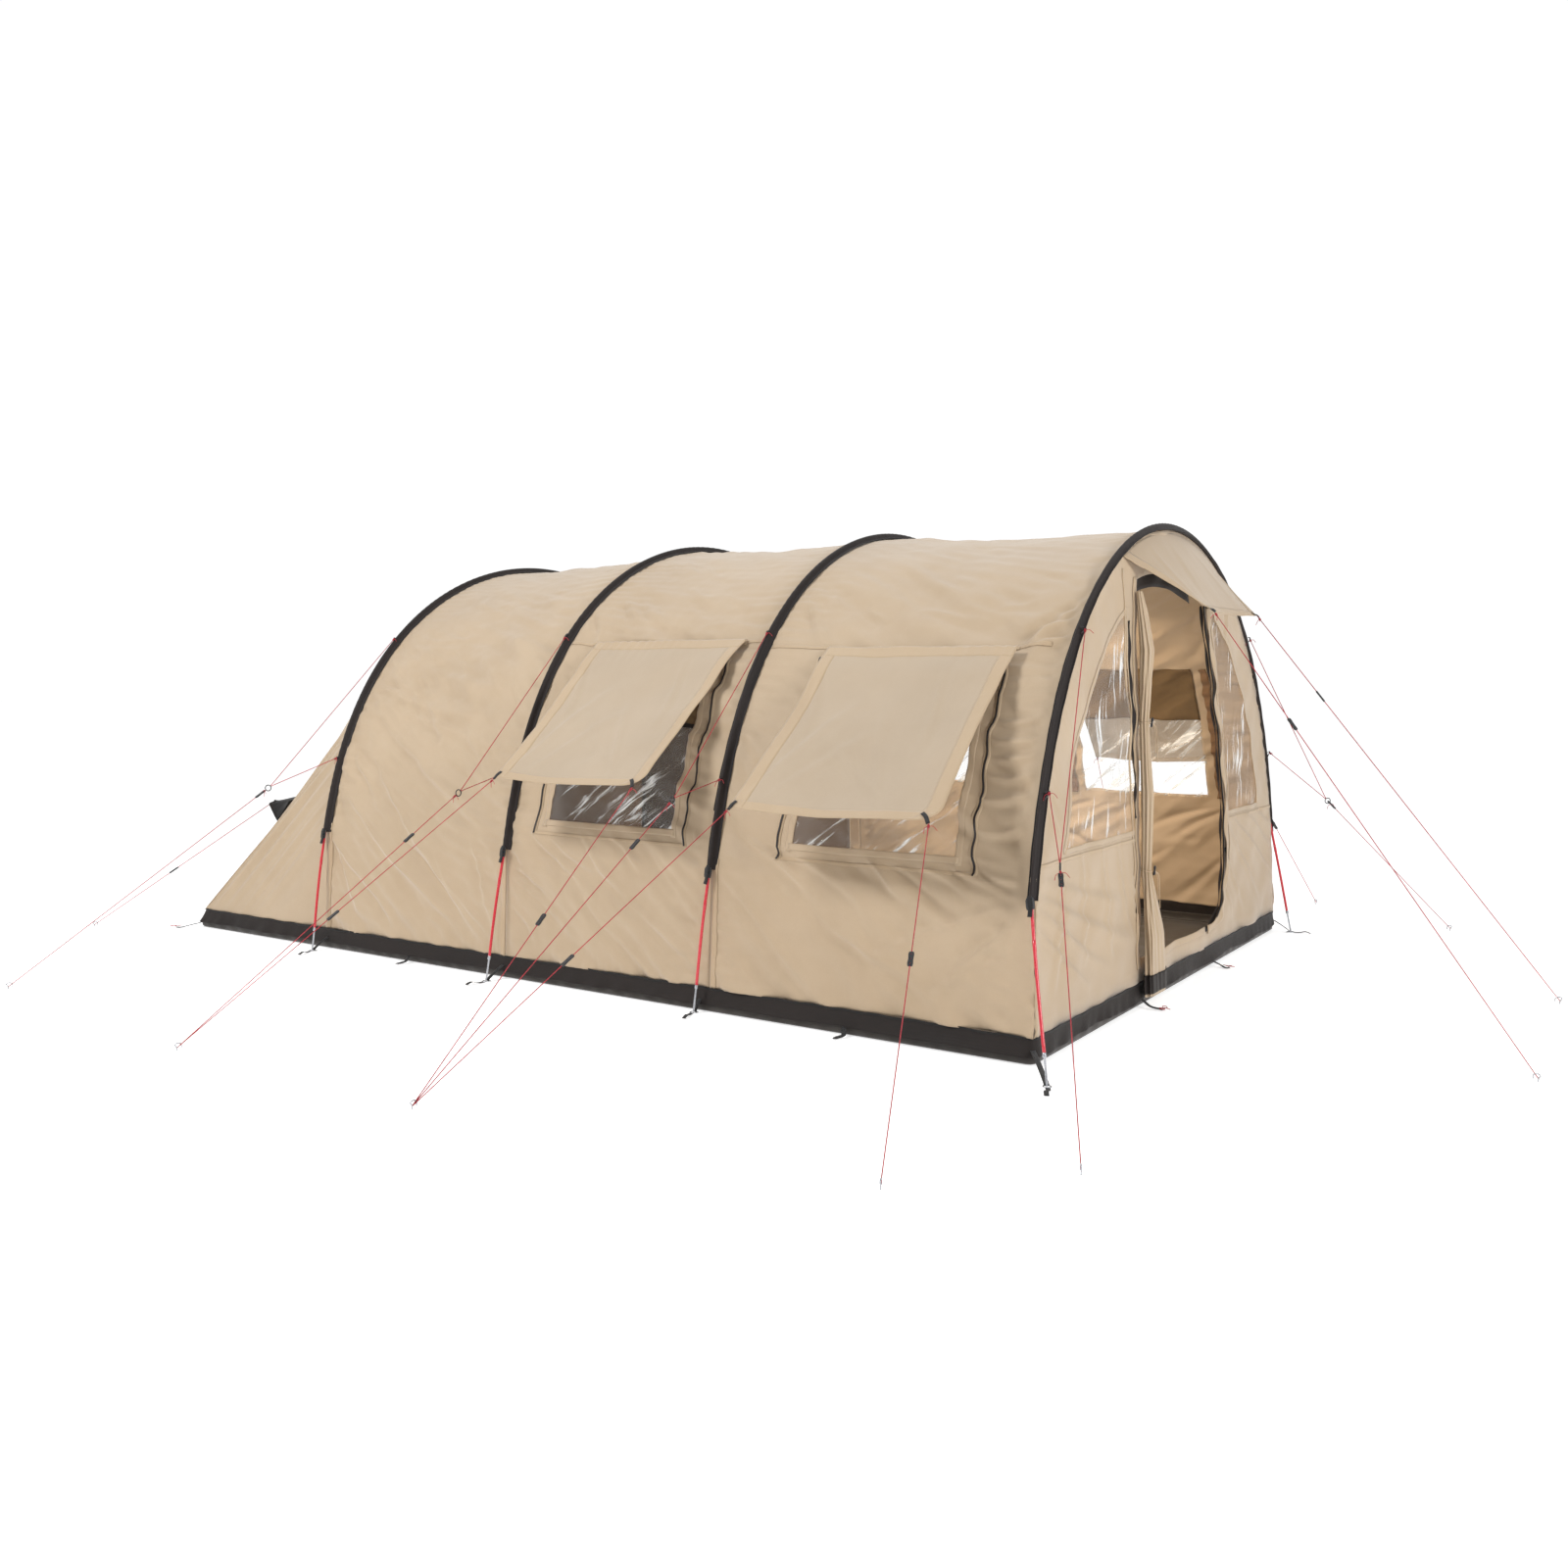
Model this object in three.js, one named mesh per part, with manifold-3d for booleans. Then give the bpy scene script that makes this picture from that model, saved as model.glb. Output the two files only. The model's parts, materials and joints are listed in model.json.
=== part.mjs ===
// A four-hoop tunnel tent, pitched and guyed out, with its window covers propped open.
// Millimetres, +Z up. The door faces -Y and the sleeping end is at +Y. The origin is on the
// ground under the tent's middle, halfway between hoop 2 and hoop 3.
import * as THREE from 'three';
import { mergeVertices } from 'three/addons/utils/BufferGeometryUtils.js';
import Module from 'manifold-3d';

const wasm = await Module();
wasm.setup();

// Driving dimensions
const GAP = 0.4;                 // between pieces that touch
const FABRIC = 3;                // thickness given to every fabric panel
const HOOP_HALF_WIDTH = 1682;    // middle of the tent to a pole's centre line, at the ground
const WALL_HALF_WIDTH = 1610;    // middle of the tent to the outside of the fabric, at the ground
const SKIN_INSET = 17;           // a pole's centre line to the outside of the fabric
const SLEEVE_END = 600;          // height where the sleeves stop and the bare pole starts
const RIM_HEIGHT = 45;           // turned-up edge of the groundsheet
const SKIRT_TOP = 100;           // top of the mud skirt
const POLE_DIAMETER = 13;
const SLEEVE_SIZE = [44, 26];    // width along the tent, thickness
const SLEEVE_BORE = 17;
const SAG = 25;                  // dip of the roof between two hoops
const FRONT_GROUND = -2041;      // front edge of the fabric on the ground
const REAR_GROUND = 2946;        // rear edge of the fabric on the ground
const LINE_DIAMETER = 3;
const ARCH_STEPS = 22;

const SIDES = [['left', -1], ['right', 1]];

// Hoops, from the sleeping end to the door: place along Y, height, bend and feet on the ground.
// The door's hoop leans: at the ground its plane is `lean` further forward than at its top.
const HOOPS = [
  { y: 1857, height: 2006, start: 84.6, fullness: 1.3, feet: [[-1710, 1838], [1710, 1838]] },
  { y: 587, height: 2069, start: 84.6, fullness: 1.3, feet: [[-1720, 598], [1720, 598]] },
  { y: -587, height: 2078, start: 84.6, fullness: 1.3, feet: [[-1660, -545], [1660, -545]] },
  { y: -1966, height: 2050, start: 83, fullness: 1.22, feet: [[-1819, -2181], [1564, -2142]], lean: 60 },
];

const COLOURS = {
  canvas: { color: 0xcdb898, roughness: 0.85, metalness: 0 },
  brown: { color: 0x3b322f, roughness: 0.8, metalness: 0 },
  black: { color: 0x232221, roughness: 0.7, metalness: 0 },
  red: { color: 0xc8283a, roughness: 0.4, metalness: 0 },
  mesh: { color: 0x4a453f, roughness: 0.9, metalness: 0 },
  clear: { color: 0xd9dcd8, roughness: 0.1, metalness: 0 },
  plastic: { color: 0x1c1c1d, roughness: 0.5, metalness: 0 },
};

const tent = new THREE.Group();

function addPiece(name, geometry, look) {
  const mesh = new THREE.Mesh(geometry, new THREE.MeshStandardMaterial(COLOURS[look]));
  mesh.name = name;
  tent.add(mesh);
  return mesh;
}

// ---------------------------------------------------------------- solids and booleans

function positionsOnly(geometry) {
  const bare = geometry.clone();
  bare.deleteAttribute('normal');
  bare.deleteAttribute('uv');
  return mergeVertices(bare, 1e-3);
}

function toManifold(geometry) {
  const merged = positionsOnly(geometry);
  const vertProperties = new Float32Array(merged.attributes.position.array);
  const triVerts = new Uint32Array(merged.index.array);
  return new wasm.Manifold(new wasm.Mesh({ numProp: 3, vertProperties, triVerts }));
}

function fromManifold(solid) {
  const mesh = solid.getMesh();
  const geometry = new THREE.BufferGeometry();
  geometry.setAttribute('position', new THREE.BufferAttribute(mesh.vertProperties, 3));
  geometry.setIndex(new THREE.BufferAttribute(mesh.triVerts, 1));
  return geometry;
}

function cut(geometry, ...cutters) {
  let solid = toManifold(geometry);
  for (const cutter of cutters) {
    solid = solid.subtract(toManifold(cutter));
  }
  return fromManifold(solid);
}

function common(a, b) {
  return fromManifold(toManifold(a).intersect(toManifold(b)));
}

function join(...geometries) {
  const solids = geometries.map(toManifold);
  return fromManifold(solids.reduce((a, b) => a.add(b)));
}

function signedVolume(points, triangles) {
  let sum = 0;
  const cross = new THREE.Vector3();
  for (let i = 0; i < triangles.length; i += 3) {
    cross.crossVectors(points[triangles[i + 1]], points[triangles[i + 2]]);
    sum += points[triangles[i]].dot(cross);
  }
  return sum / 6;
}

function solidFrom(points, triangles) {
  const faces = signedVolume(points, triangles) < 0 ? triangles.slice().reverse() : triangles;
  const geometry = new THREE.BufferGeometry().setFromPoints(points);
  geometry.setIndex(faces);
  return geometry;
}

// A closed sheet between two grids of points: grid[row][column] on the outside and the inside
function sheet(outer, inner) {
  const rows = outer.length;
  const columns = outer[0].length;
  const points = [...outer.flat(), ...inner.flat()];
  const layer = rows * columns;
  const triangles = [];
  const quad = (a, b, c, d) => triangles.push(a, b, c, a, c, d);
  for (let r = 0; r < rows - 1; r += 1) {
    for (let c = 0; c < columns - 1; c += 1) {
      const a = r * columns + c;
      quad(a, a + 1, a + columns + 1, a + columns);
      quad(layer + a, layer + a + columns, layer + a + columns + 1, layer + a + 1);
    }
  }
  const rim = [];
  for (let c = 0; c < columns - 1; c += 1) rim.push(c);
  for (let r = 0; r < rows - 1; r += 1) rim.push(r * columns + columns - 1);
  for (let c = columns - 1; c > 0; c -= 1) rim.push((rows - 1) * columns + c);
  for (let r = rows - 1; r > 0; r -= 1) rim.push(r * columns);
  rim.forEach((a, i) => {
    const b = rim[(i + 1) % rim.length];
    quad(b, a, layer + a, layer + b);
  });
  return solidFrom(points, triangles);
}

function box(low, high) {
  const size = high.map((v, i) => v - low[i]);
  const geometry = new THREE.BoxGeometry(...size);
  geometry.translate(...low.map((v, i) => v + size[i] / 2));
  return geometry;
}

function straightRod(from, to, diameter, sides = 8) {
  const a = new THREE.Vector3(...from);
  const b = new THREE.Vector3(...to);
  const rod = new THREE.CylinderGeometry(diameter / 2, diameter / 2, a.distanceTo(b), sides);
  const up = new THREE.Vector3(0, 1, 0);
  const turn = new THREE.Quaternion().setFromUnitVectors(up, b.clone().sub(a).normalize());
  rod.applyQuaternion(turn);
  rod.translate(...a.add(b).multiplyScalar(0.5).toArray());
  return rod;
}

// ---------------------------------------------------------------- the hoops' shape

// Half an ellipse-like bow: the pole bends hardest in its middle. Points run from the left
// foot (-1, 0) over the top to the right foot (1, 0), evenly spaced along the pole.
function bow(start, fullness) {
  const count = 240;
  const bend = Array.from({ length: count }, (_, i) => Math.sin(Math.PI * (i + 0.5) / count) ** fullness);
  const total = bend.reduce((a, b) => a + b);
  const points = [[0, 0]];
  let bent = 0;
  for (const k of bend) {
    const angle = THREE.MathUtils.degToRad(start) * (1 - 2 * (bent + k / 2) / total);
    const [x, z] = points.at(-1);
    points.push([x + Math.cos(angle), z + Math.sin(angle)]);
    bent += k;
  }
  const span = points.at(-1)[0];
  const top = Math.max(...points.map((p) => p[1]));
  return points.map(([x, z]) => [2 * x / span - 1, z / top]);
}

// A hoop's outline [x, z] moved inwards by `inset`, evenly spaced from one height up, over
// the top and down to the same height on the other side
function archOutline(hoop, inset, fromHeight, steps) {
  const shape = bow(hoop.start, hoop.fullness);
  const scaled = shape.map(([x, z]) => [x * HOOP_HALF_WIDTH, z * hoop.height]);
  const half = scaled.slice(0, shape.length / 2 | 0);
  const above = half.findIndex((p) => p[1] > fromHeight);
  const [low, high] = [half[above - 1], half[above]];
  const first = above - 1 + (fromHeight - low[1]) / (high[1] - low[1]);
  const last = scaled.length - 1 - first;
  const at = (index) => {
    const i = Math.min(Math.floor(index), scaled.length - 2);
    const [a, b] = [scaled[i], scaled[i + 1]];
    const t = index - i;
    const along = new THREE.Vector2(b[0] - a[0], b[1] - a[1]).normalize();
    const x = a[0] + (b[0] - a[0]) * t;
    const z = a[1] + (b[1] - a[1]) * t;
    return [x + along.y * inset, z - along.x * inset];
  };
  return Array.from({ length: steps + 1 }, (_, i) => at(first + (last - first) * i / steps));
}

const hoopY = (hoop, z) => hoop.y - (hoop.lean ?? 0) * (1 - z / hoop.height);

// The fabric's outline [x, z] at a hoop: the arch, and straight walls below the sleeve ends
function skinOutline(hoop, inset, bottom) {
  const arch = archOutline(hoop, SKIN_INSET + inset, SLEEVE_END, ARCH_STEPS);
  const foot = WALL_HALF_WIDTH - inset;
  const [x, z] = arch[0];
  const wall = -foot + (foot + x) * bottom / z;
  return [[wall, bottom], ...arch, [-wall, bottom]];
}

// ---------------------------------------------------------------- groundsheet and skirt

function groundsheet() {
  const floor = 5;
  const [x, front, rear] = [WALL_HALF_WIDTH, FRONT_GROUND, REAR_GROUND];
  const tray = box([-x, front, 0], [x, rear, RIM_HEIGHT]);
  const hollow = box([-x + FABRIC, front + FABRIC, floor], [x - FABRIC, rear - FABRIC, 2 * RIM_HEIGHT]);
  return cut(tray, hollow);
}

// Slope of the tail's rear panel, used for the skirt and the tail: Y at a height
const TAIL_TOP = { y: HOOPS[0].y, z: HOOPS[0].height - SKIN_INSET };
const tailY = (z) => REAR_GROUND + (TAIL_TOP.y - REAR_GROUND) * z / TAIL_TOP.z;
const frontY = (z) => hoopY(HOOPS[3], z) + (FRONT_GROUND - hoopY(HOOPS[3], 0)) * (1 - z / HOOPS[3].height);

function skirt() {
  const [low, high] = [RIM_HEIGHT + GAP, SKIRT_TOP];
  const wallAt = (z, inset) => {
    const outline = skinOutline(HOOPS[1], inset, z);
    return -outline[0][0];
  };
  const ring = (z, inset) => {
    const x = wallAt(z, inset);
    const [front, rear] = [frontY(z) + inset, tailY(z) - inset];
    return [[-x, front, z], [x, front, z], [x, rear, z], [-x, rear, z]].map((p) => new THREE.Vector3(...p));
  };
  const rings = [ring(low, 0), ring(high, 0), ring(high, FABRIC), ring(low, FABRIC)];
  const triangles = [];
  for (let r = 0; r < 4; r += 1) {
    for (let c = 0; c < 4; c += 1) {
      const [a, b] = [4 * r + c, 4 * r + (c + 1) % 4];
      const [d, e] = [4 * ((r + 1) % 4) + c, 4 * ((r + 1) % 4) + (c + 1) % 4];
      triangles.push(a, b, e, a, e, d);
    }
  }
  return solidFrom(rings.flat(), triangles);
}

addPiece('groundsheet', groundsheet(), 'black');
addPiece('mud_skirt', skirt(), 'brown');

// ---------------------------------------------------------------- roof bays and windows

const WALL_BOTTOM = SKIRT_TOP + GAP;

// One bay of roof and walls between two hoops, dipping between them
function bayGrid(rearHoop, frontHoop, inset) {
  const rows = 4;
  const rear = skinOutline(rearHoop, inset, WALL_BOTTOM);
  const front = skinOutline(frontHoop, inset, WALL_BOTTOM);
  return Array.from({ length: rows + 1 }, (_, r) => {
    const t = r / rows;
    const dip = SAG * Math.sin(Math.PI * t);
    return rear.map(([x, z], c) => {
      const [xf, zf] = front[c];
      const px = x + (xf - x) * t;
      const pz = z + (zf - z) * t;
      const lift = Math.max(0, (pz - SLEEVE_END) / (HOOPS[1].height - SLEEVE_END));
      const backY = hoopY(rearHoop, pz) - GAP / 2;
      const frontEdge = frontHoop.lean ? frontY(pz) : frontHoop.y + GAP / 2;
      return new THREE.Vector3(px, backY + (frontEdge - backY) * t, pz - dip * lift);
    });
  });
}

function roofBay(rearHoop, frontHoop) {
  return sheet(bayGrid(rearHoop, frontHoop, 0), bayGrid(rearHoop, frontHoop, FABRIC));
}

// Side windows: one in each wall of bay 2 and bay 3. Each one's cover has a hinge line and
// a far edge, a length, and a slope in degrees below level.
const WINDOWS = [
  {
    bay: 2, rear: 361, front: -354, bottom: 740, top: 1430,
    hinge: [391, -476, 1550], tip: [385, -427], length: 910, slope: 41,
  },
  {
    bay: 3, rear: -958, front: -1675, bottom: 722, top: 1430,
    hinge: [-914, -1775, 1510], tip: [-893, -1788], length: 922, slope: 42,
  },
];
const WINDOW_GAP = 1;

function windowBox(window, side, margin) {
  const [inner, outer] = [900, 1750];
  const low = [side < 0 ? -outer : inner, window.front + margin, window.bottom + margin];
  const high = [side < 0 ? -inner : outer, window.rear - margin, window.top - margin];
  return box(low, high);
}

for (let bay = 1; bay <= 3; bay += 1) {
  const whole = roofBay(HOOPS[bay - 1], HOOPS[bay]);
  const windows = WINDOWS.filter((w) => w.bay === bay);
  const openings = windows.flatMap((w) => SIDES.map(([, side]) => windowBox(w, side, 0)));
  addPiece(`roof_bay_${bay}`, cut(whole, ...openings), 'canvas');
  for (const window of windows) {
    for (const [label, side] of SIDES) {
      const pane = common(whole, windowBox(window, side, WINDOW_GAP));
      addPiece(`side_window_${bay}_${label}`, pane, 'clear');
    }
  }
}

// ---------------------------------------------------------------- window covers

// A cover hangs from a seam above its window, held out by two guy lines. Its hinge line is
// along Y, just off the wall.
const COVER_CLEAR = 9;           // from the wall's face to the hinge line

function wallX(hoop, z) {
  const outline = archOutline(hoop, SKIN_INSET, SLEEVE_END, 200);
  const i = outline.findIndex((p) => p[1] > z);
  const [a, b] = [outline[i - 1], outline[i]];
  return -(a[0] + (b[0] - a[0]) * (z - a[1]) / (b[1] - a[1]));
}

const coverHinge = (window) => wallX(HOOPS[2], window.hinge[2]) + COVER_CLEAR;

function coverTip(window) {
  const slope = THREE.MathUtils.degToRad(window.slope);
  const x = coverHinge(window) + window.length * Math.cos(slope);
  const z = window.hinge[2] - window.length * Math.sin(slope);
  return [x, z];
}

function windowCover(window) {
  const [rear, front] = window.hinge;
  const [tipRear, tipFront] = window.tip;
  const length = window.length;
  const round = 90;
  const outline = new THREE.Shape();
  outline.moveTo(0, rear);
  outline.lineTo(0, front);
  outline.lineTo(length - round, tipFront - 4);
  outline.quadraticCurveTo(length, tipFront, length, tipFront + round);
  outline.lineTo(length, tipRear);
  outline.closePath();
  const settings = { depth: FABRIC, bevelEnabled: false, curveSegments: 4 };
  const flap = new THREE.ExtrudeGeometry(outline, settings);
  flap.rotateY(THREE.MathUtils.degToRad(window.slope));
  flap.translate(coverHinge(window), 0, window.hinge[2]);
  return flap;
}

for (const window of WINDOWS) {
  addPiece(`window_cover_${window.bay}_right`, windowCover(window), 'canvas');
  const mirrored = windowCover(window);
  mirrored.rotateY(Math.PI);
  mirrored.scale(1, 1, -1);
  const points = [];
  const place = mirrored.attributes.position;
  for (let i = 0; i < place.count; i += 1) points.push(new THREE.Vector3().fromBufferAttribute(place, i));
  addPiece(`window_cover_${window.bay}_left`, solidFrom(points, points.map((_, i) => i)), 'canvas');
}

// ---------------------------------------------------------------- tail

// The tail leans from hoop 1 to the ground. The wide rear panel runs up to a ridge on each
// side, and a three-cornered side panel closes the gap below each ridge.
const RIDGE_HEIGHT = 1080;       // where the ridge leaves hoop 1
const SIDE_RUN = 0.35;           // share of the tail's ground line that starts at the hoop
const TAIL_SLACK = 18;

// A point of the tail: `column` counts along hoop 1's outline, `t` runs from hoop to ground
function tailPoint(column, t, inset) {
  const outline = skinOutline(HOOPS[0], inset, WALL_BOTTOM);
  const last = outline.length - 1;
  const ridge = outline.findIndex((p) => p[1] > RIDGE_HEIGHT);
  const c = Math.min(Math.floor(column), last - 1);
  const share = column - c;
  const x = outline[c][0] + (outline[c + 1][0] - outline[c][0]) * share;
  const z = outline[c][1] + (outline[c + 1][1] - outline[c][1]) * share;
  const corner = -outline[0][0];
  const across = Math.min(1, Math.max(0, (column - ridge) / (last - 2 * ridge)));
  const down = Math.min(1, Math.min(column, last - column) / ridge);
  const start = HOOPS[0].y + GAP / 2;
  const end = start + (tailY(WALL_BOTTOM) - inset - start) * (SIDE_RUN + (1 - SIDE_RUN) * down);
  const slack = across > 0 && across < 1 ? TAIL_SLACK * Math.sin(Math.PI * t) : 0;
  return new THREE.Vector3(
    x + (corner * (2 * across - 1) - x) * t,
    start + (end - start) * t,
    z + (WALL_BOTTOM - z) * t - slack,
  );
}

const TAIL_COLUMNS = ARCH_STEPS + 3;

function tailGrid(inset) {
  const rows = 4;
  const row = (t) => Array.from({ length: TAIL_COLUMNS }, (_, c) => tailPoint(c, t, inset));
  return Array.from({ length: rows + 1 }, (_, r) => row(r / rows));
}

addPiece('tail_panel', sheet(tailGrid(0), tailGrid(FABRIC)), 'canvas');

// A small hood stands off the rear panel near each ridge. Its tip is guyed out.
const COWL = { width: 220, drop: 150, depth: 120, column: 5.1, t: 0.48, clear: 20 };

function cowlFrame(side) {
  const column = side < 0 ? COWL.column : TAIL_COLUMNS - 1 - COWL.column;
  const at = tailPoint(column, COWL.t, 0);
  const down = tailPoint(column, COWL.t + 0.12, 0).sub(at).normalize();
  const along = tailPoint(column + 0.6, COWL.t, 0).sub(tailPoint(column - 0.6, COWL.t, 0));
  const out = new THREE.Vector3().crossVectors(along, down).normalize();
  const across = new THREE.Vector3().crossVectors(down, out).normalize();
  at.addScaledVector(out, COWL.clear);
  return new THREE.Matrix4().makeBasis(across, down, out).setPosition(at);
}

function ventCowl(side) {
  const { width, drop, depth } = COWL;
  const points = [[-width / 2, 0, 0], [width / 2, 0, 0], [width / 2, drop, 0], [-width / 2, drop, 0],
    [-width / 4, drop, depth], [width / 4, drop, depth]].map((p) => new THREE.Vector3(...p));
  const triangles = [0, 2, 1, 0, 3, 2, 0, 1, 5, 0, 5, 4, 1, 2, 5, 0, 4, 3, 3, 4, 5, 3, 5, 2];
  points.forEach((p) => p.applyMatrix4(cowlFrame(side)));
  return solidFrom(points, triangles);
}

const cowlTip = (side) => new THREE.Vector3(0, COWL.drop, COWL.depth + 4).applyMatrix4(cowlFrame(side));

for (const [label, side] of SIDES) addPiece(`vent_cowl_${label}`, ventCowl(side), 'black');

// ---------------------------------------------------------------- front wall

// Shapes on the front wall are drawn as [x, z] and laid onto its leaning plane
const FRONT_SLOPE = (frontY(1000) - frontY(0)) / 1000;

function onFrontWall(shape, thickness, stand = 0) {
  const plate = new THREE.ExtrudeGeometry(shape, { depth: thickness, bevelEnabled: false, curveSegments: 8 });
  plate.translate(0, 0, stand - thickness);
  const lean = new THREE.Matrix4();
  lean.set(1, 0, 0, 0, 0, FRONT_SLOPE, -1, frontY(0), 0, 1, 0, 0, 0, 0, 0, 1);
  return plate.applyMatrix4(lean);
}

function polygon(points) {
  return new THREE.Shape(points.map(([x, z]) => new THREE.Vector2(x, z)));
}

const DOOR = { left: -500, right: 690, sill: 185, top: 1790 };

// Straight on the side where the door stays sewn, bowed on the side that unzips
function doorOutline() {
  const shape = new THREE.Shape();
  shape.moveTo(DOOR.left, DOOR.sill);
  shape.lineTo(DOOR.left, DOOR.top);
  shape.quadraticCurveTo(-60, 1905, 400, 1715);
  shape.bezierCurveTo(500, 1450, 700, 950, DOOR.right, 560);
  shape.bezierCurveTo(680, 300, 600, DOOR.sill, 380, DOOR.sill);
  shape.closePath();
  return shape;
}

// A clear window beside the door: its outer edge runs parallel to the hoop
const FRONT_WINDOW = {
  left: { bottom: 740, inner: [[-612, 1690], [-520, 740]] },
  right: { bottom: 712, inner: [[545, 1705], [718, 712]] },
  inset: 215,
};

function frontWindowOutline(label, side, margin) {
  const { bottom, inner } = FRONT_WINDOW[label];
  const base = bottom + margin;
  const arch = archOutline(HOOPS[3], SKIN_INSET + FRONT_WINDOW.inset + margin, base, 60);
  const innerX = Math.abs(inner[0][0]) + margin;
  const above = arch.filter(([x, z]) => x < -innerX && z > base + 20);
  const curve = above.map(([x, z]) => [x * -side, z]);
  const top = [inner[0][0] + side * margin, curve.at(-1)[1]];
  const foot = [inner[1][0] + side * margin, base];
  return polygon([[curve[0][0] + side * 6, base], ...curve, top, foot]);
}

const frontOutline = polygon(skinOutline(HOOPS[3], FABRIC + GAP, WALL_BOTTOM));
const throughWall = (shape) => onFrontWall(shape, 40, 20);
const frontCuts = [throughWall(doorOutline())];
for (const [label, side] of SIDES) {
  frontCuts.push(throughWall(frontWindowOutline(label, side, 0)));
  addPiece(`front_window_${label}`, onFrontWall(frontWindowOutline(label, side, 1), FABRIC), 'clear');
}
addPiece('front_wall', cut(onFrontWall(frontOutline, FABRIC), ...frontCuts), 'canvas');

// The opened door, gathered and tied back along its sewn edge
function doorBundle() {
  const [bottom, top] = [62, 1745];
  const profile = [[0, bottom], [92, bottom], [72, 350], [46, 900], [50, 1350], [56, 1620], [30, top], [0, top]];
  const roll = new THREE.LatheGeometry(profile.map((p) => new THREE.Vector2(...p)), 10);
  roll.scale(1, 1, 0.5);
  const lean = new THREE.Matrix4();
  lean.set(1, 0, 0, DOOR.left + 62, 0, FRONT_SLOPE, -1, frontY(0) - 52, 0, 1, 0, 0, 0, 0, 0, 1);
  return positionsOnly(roll).applyMatrix4(lean);
}

addPiece('door_bundle', doorBundle(), 'canvas');

// The slider at the foot of the door's zip
function zipSlider() {
  const [x, z, width, height] = [712, 520, 10, 26];
  const shape = polygon([[x, z], [x + width, z], [x + width, z + height], [x, z + height]]);
  return onFrontWall(shape, 7, 7 + GAP);
}

addPiece('door_zip_slider', zipSlider(), 'plastic');

// The small awning over the door: sewn along the top of the hoop, held out at two corners
const AWNING = { half: 640, tipHalf: 330, tipY: -2250, tipZ: 1668, below: 12 };

function awningGrid(drop) {
  const rows = 3;
  const arch = archOutline(HOOPS[3], SKIN_INSET + AWNING.below, SLEEVE_END, 60);
  const seam = arch.filter(([x]) => Math.abs(x) < AWNING.half).filter((_, i) => i % 2 === 0);
  return Array.from({ length: rows + 1 }, (_, r) => seam.map(([x, z], c) => {
    const t = r / rows;
    const tipX = AWNING.tipHalf * (2 * c / (seam.length - 1) - 1);
    const seamY = frontY(z) - 2;
    return new THREE.Vector3(
      x + (tipX - x) * t,
      seamY + (AWNING.tipY - seamY) * t,
      z + (AWNING.tipZ - z) * t - drop,
    );
  }));
}

addPiece('awning', sheet(awningGrid(0), awningGrid(FABRIC)), 'canvas');

// ---------------------------------------------------------------- poles and sleeves

function archPath(hoop) {
  const points = archOutline(hoop, 0, SLEEVE_END, ARCH_STEPS);
  return new THREE.CatmullRomCurve3(points.map(([x, z]) => new THREE.Vector3(x, hoopY(hoop, z), z)));
}

function alongArch(shape, hoop) {
  return new THREE.ExtrudeGeometry(shape, { extrudePath: archPath(hoop), steps: ARCH_STEPS, curveSegments: 3 });
}

function ring(halfWidth, halfHeight, sides) {
  const turn = (i) => 2 * Math.PI * (i + 0.5) / sides;
  return Array.from({ length: sides }, (_, i) => (
    new THREE.Vector2(halfWidth * Math.cos(turn(i)), halfHeight * Math.sin(turn(i)))));
}

function poleSleeve(hoop) {
  const section = new THREE.Shape(ring(SLEEVE_SIZE[0] / 2, SLEEVE_SIZE[1] / 2, 8));
  section.holes.push(new THREE.Path(ring(SLEEVE_BORE / 2, SLEEVE_BORE / 2, 6)));
  return alongArch(section, hoop);
}

function pole(hoop) {
  const radius = POLE_DIAMETER / 2;
  const pieces = [alongArch(new THREE.Shape(ring(radius, radius, 6)), hoop)];
  const arch = archOutline(hoop, 0, SLEEVE_END, ARCH_STEPS);
  hoop.feet.forEach(([x, y], i) => {
    const [endX, endZ] = i === 0 ? arch[0] : arch.at(-1);
    const end = new THREE.Vector3(endX, hoopY(hoop, endZ), endZ);
    const foot = new THREE.Vector3(x, y, 3);
    const past = end.clone().add(end.clone().sub(foot).normalize().multiplyScalar(2));
    pieces.push(straightRod(foot.toArray(), past.toArray(), POLE_DIAMETER - 0.5, 6));
  });
  return join(...pieces);
}

HOOPS.forEach((hoop, i) => {
  addPiece(`pole_sleeve_${i + 1}`, poleSleeve(hoop), 'brown');
  addPiece(`pole_${i + 1}`, pole(hoop), 'red');
});

// ---------------------------------------------------------------- inner sleeping cabin

const CABIN = { front: 620, shoulder: 1790, rear: 2780, inset: 62, floor: 9, rearHalf: 1490, rearHeight: 150 };
const CABIN_DOOR = { half: 550, bottom: 60, top: 1500, overlap: 16, clear: 3 };

// Closed loft through rings of the same number of points, each ring convex
function loft(rings) {
  const count = rings[0].length;
  const triangles = [];
  for (let r = 0; r < rings.length - 1; r += 1) {
    for (let c = 0; c < count; c += 1) {
      const [a, b] = [r * count + c, r * count + (c + 1) % count];
      triangles.push(a, b, b + count, a, b + count, a + count);
    }
  }
  const end = (rings.length - 1) * count;
  for (let c = 1; c < count - 1; c += 1) {
    triangles.push(0, c + 1, c, end, end + c, end + c + 1);
  }
  return solidFrom(rings.flat(), triangles);
}

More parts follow.
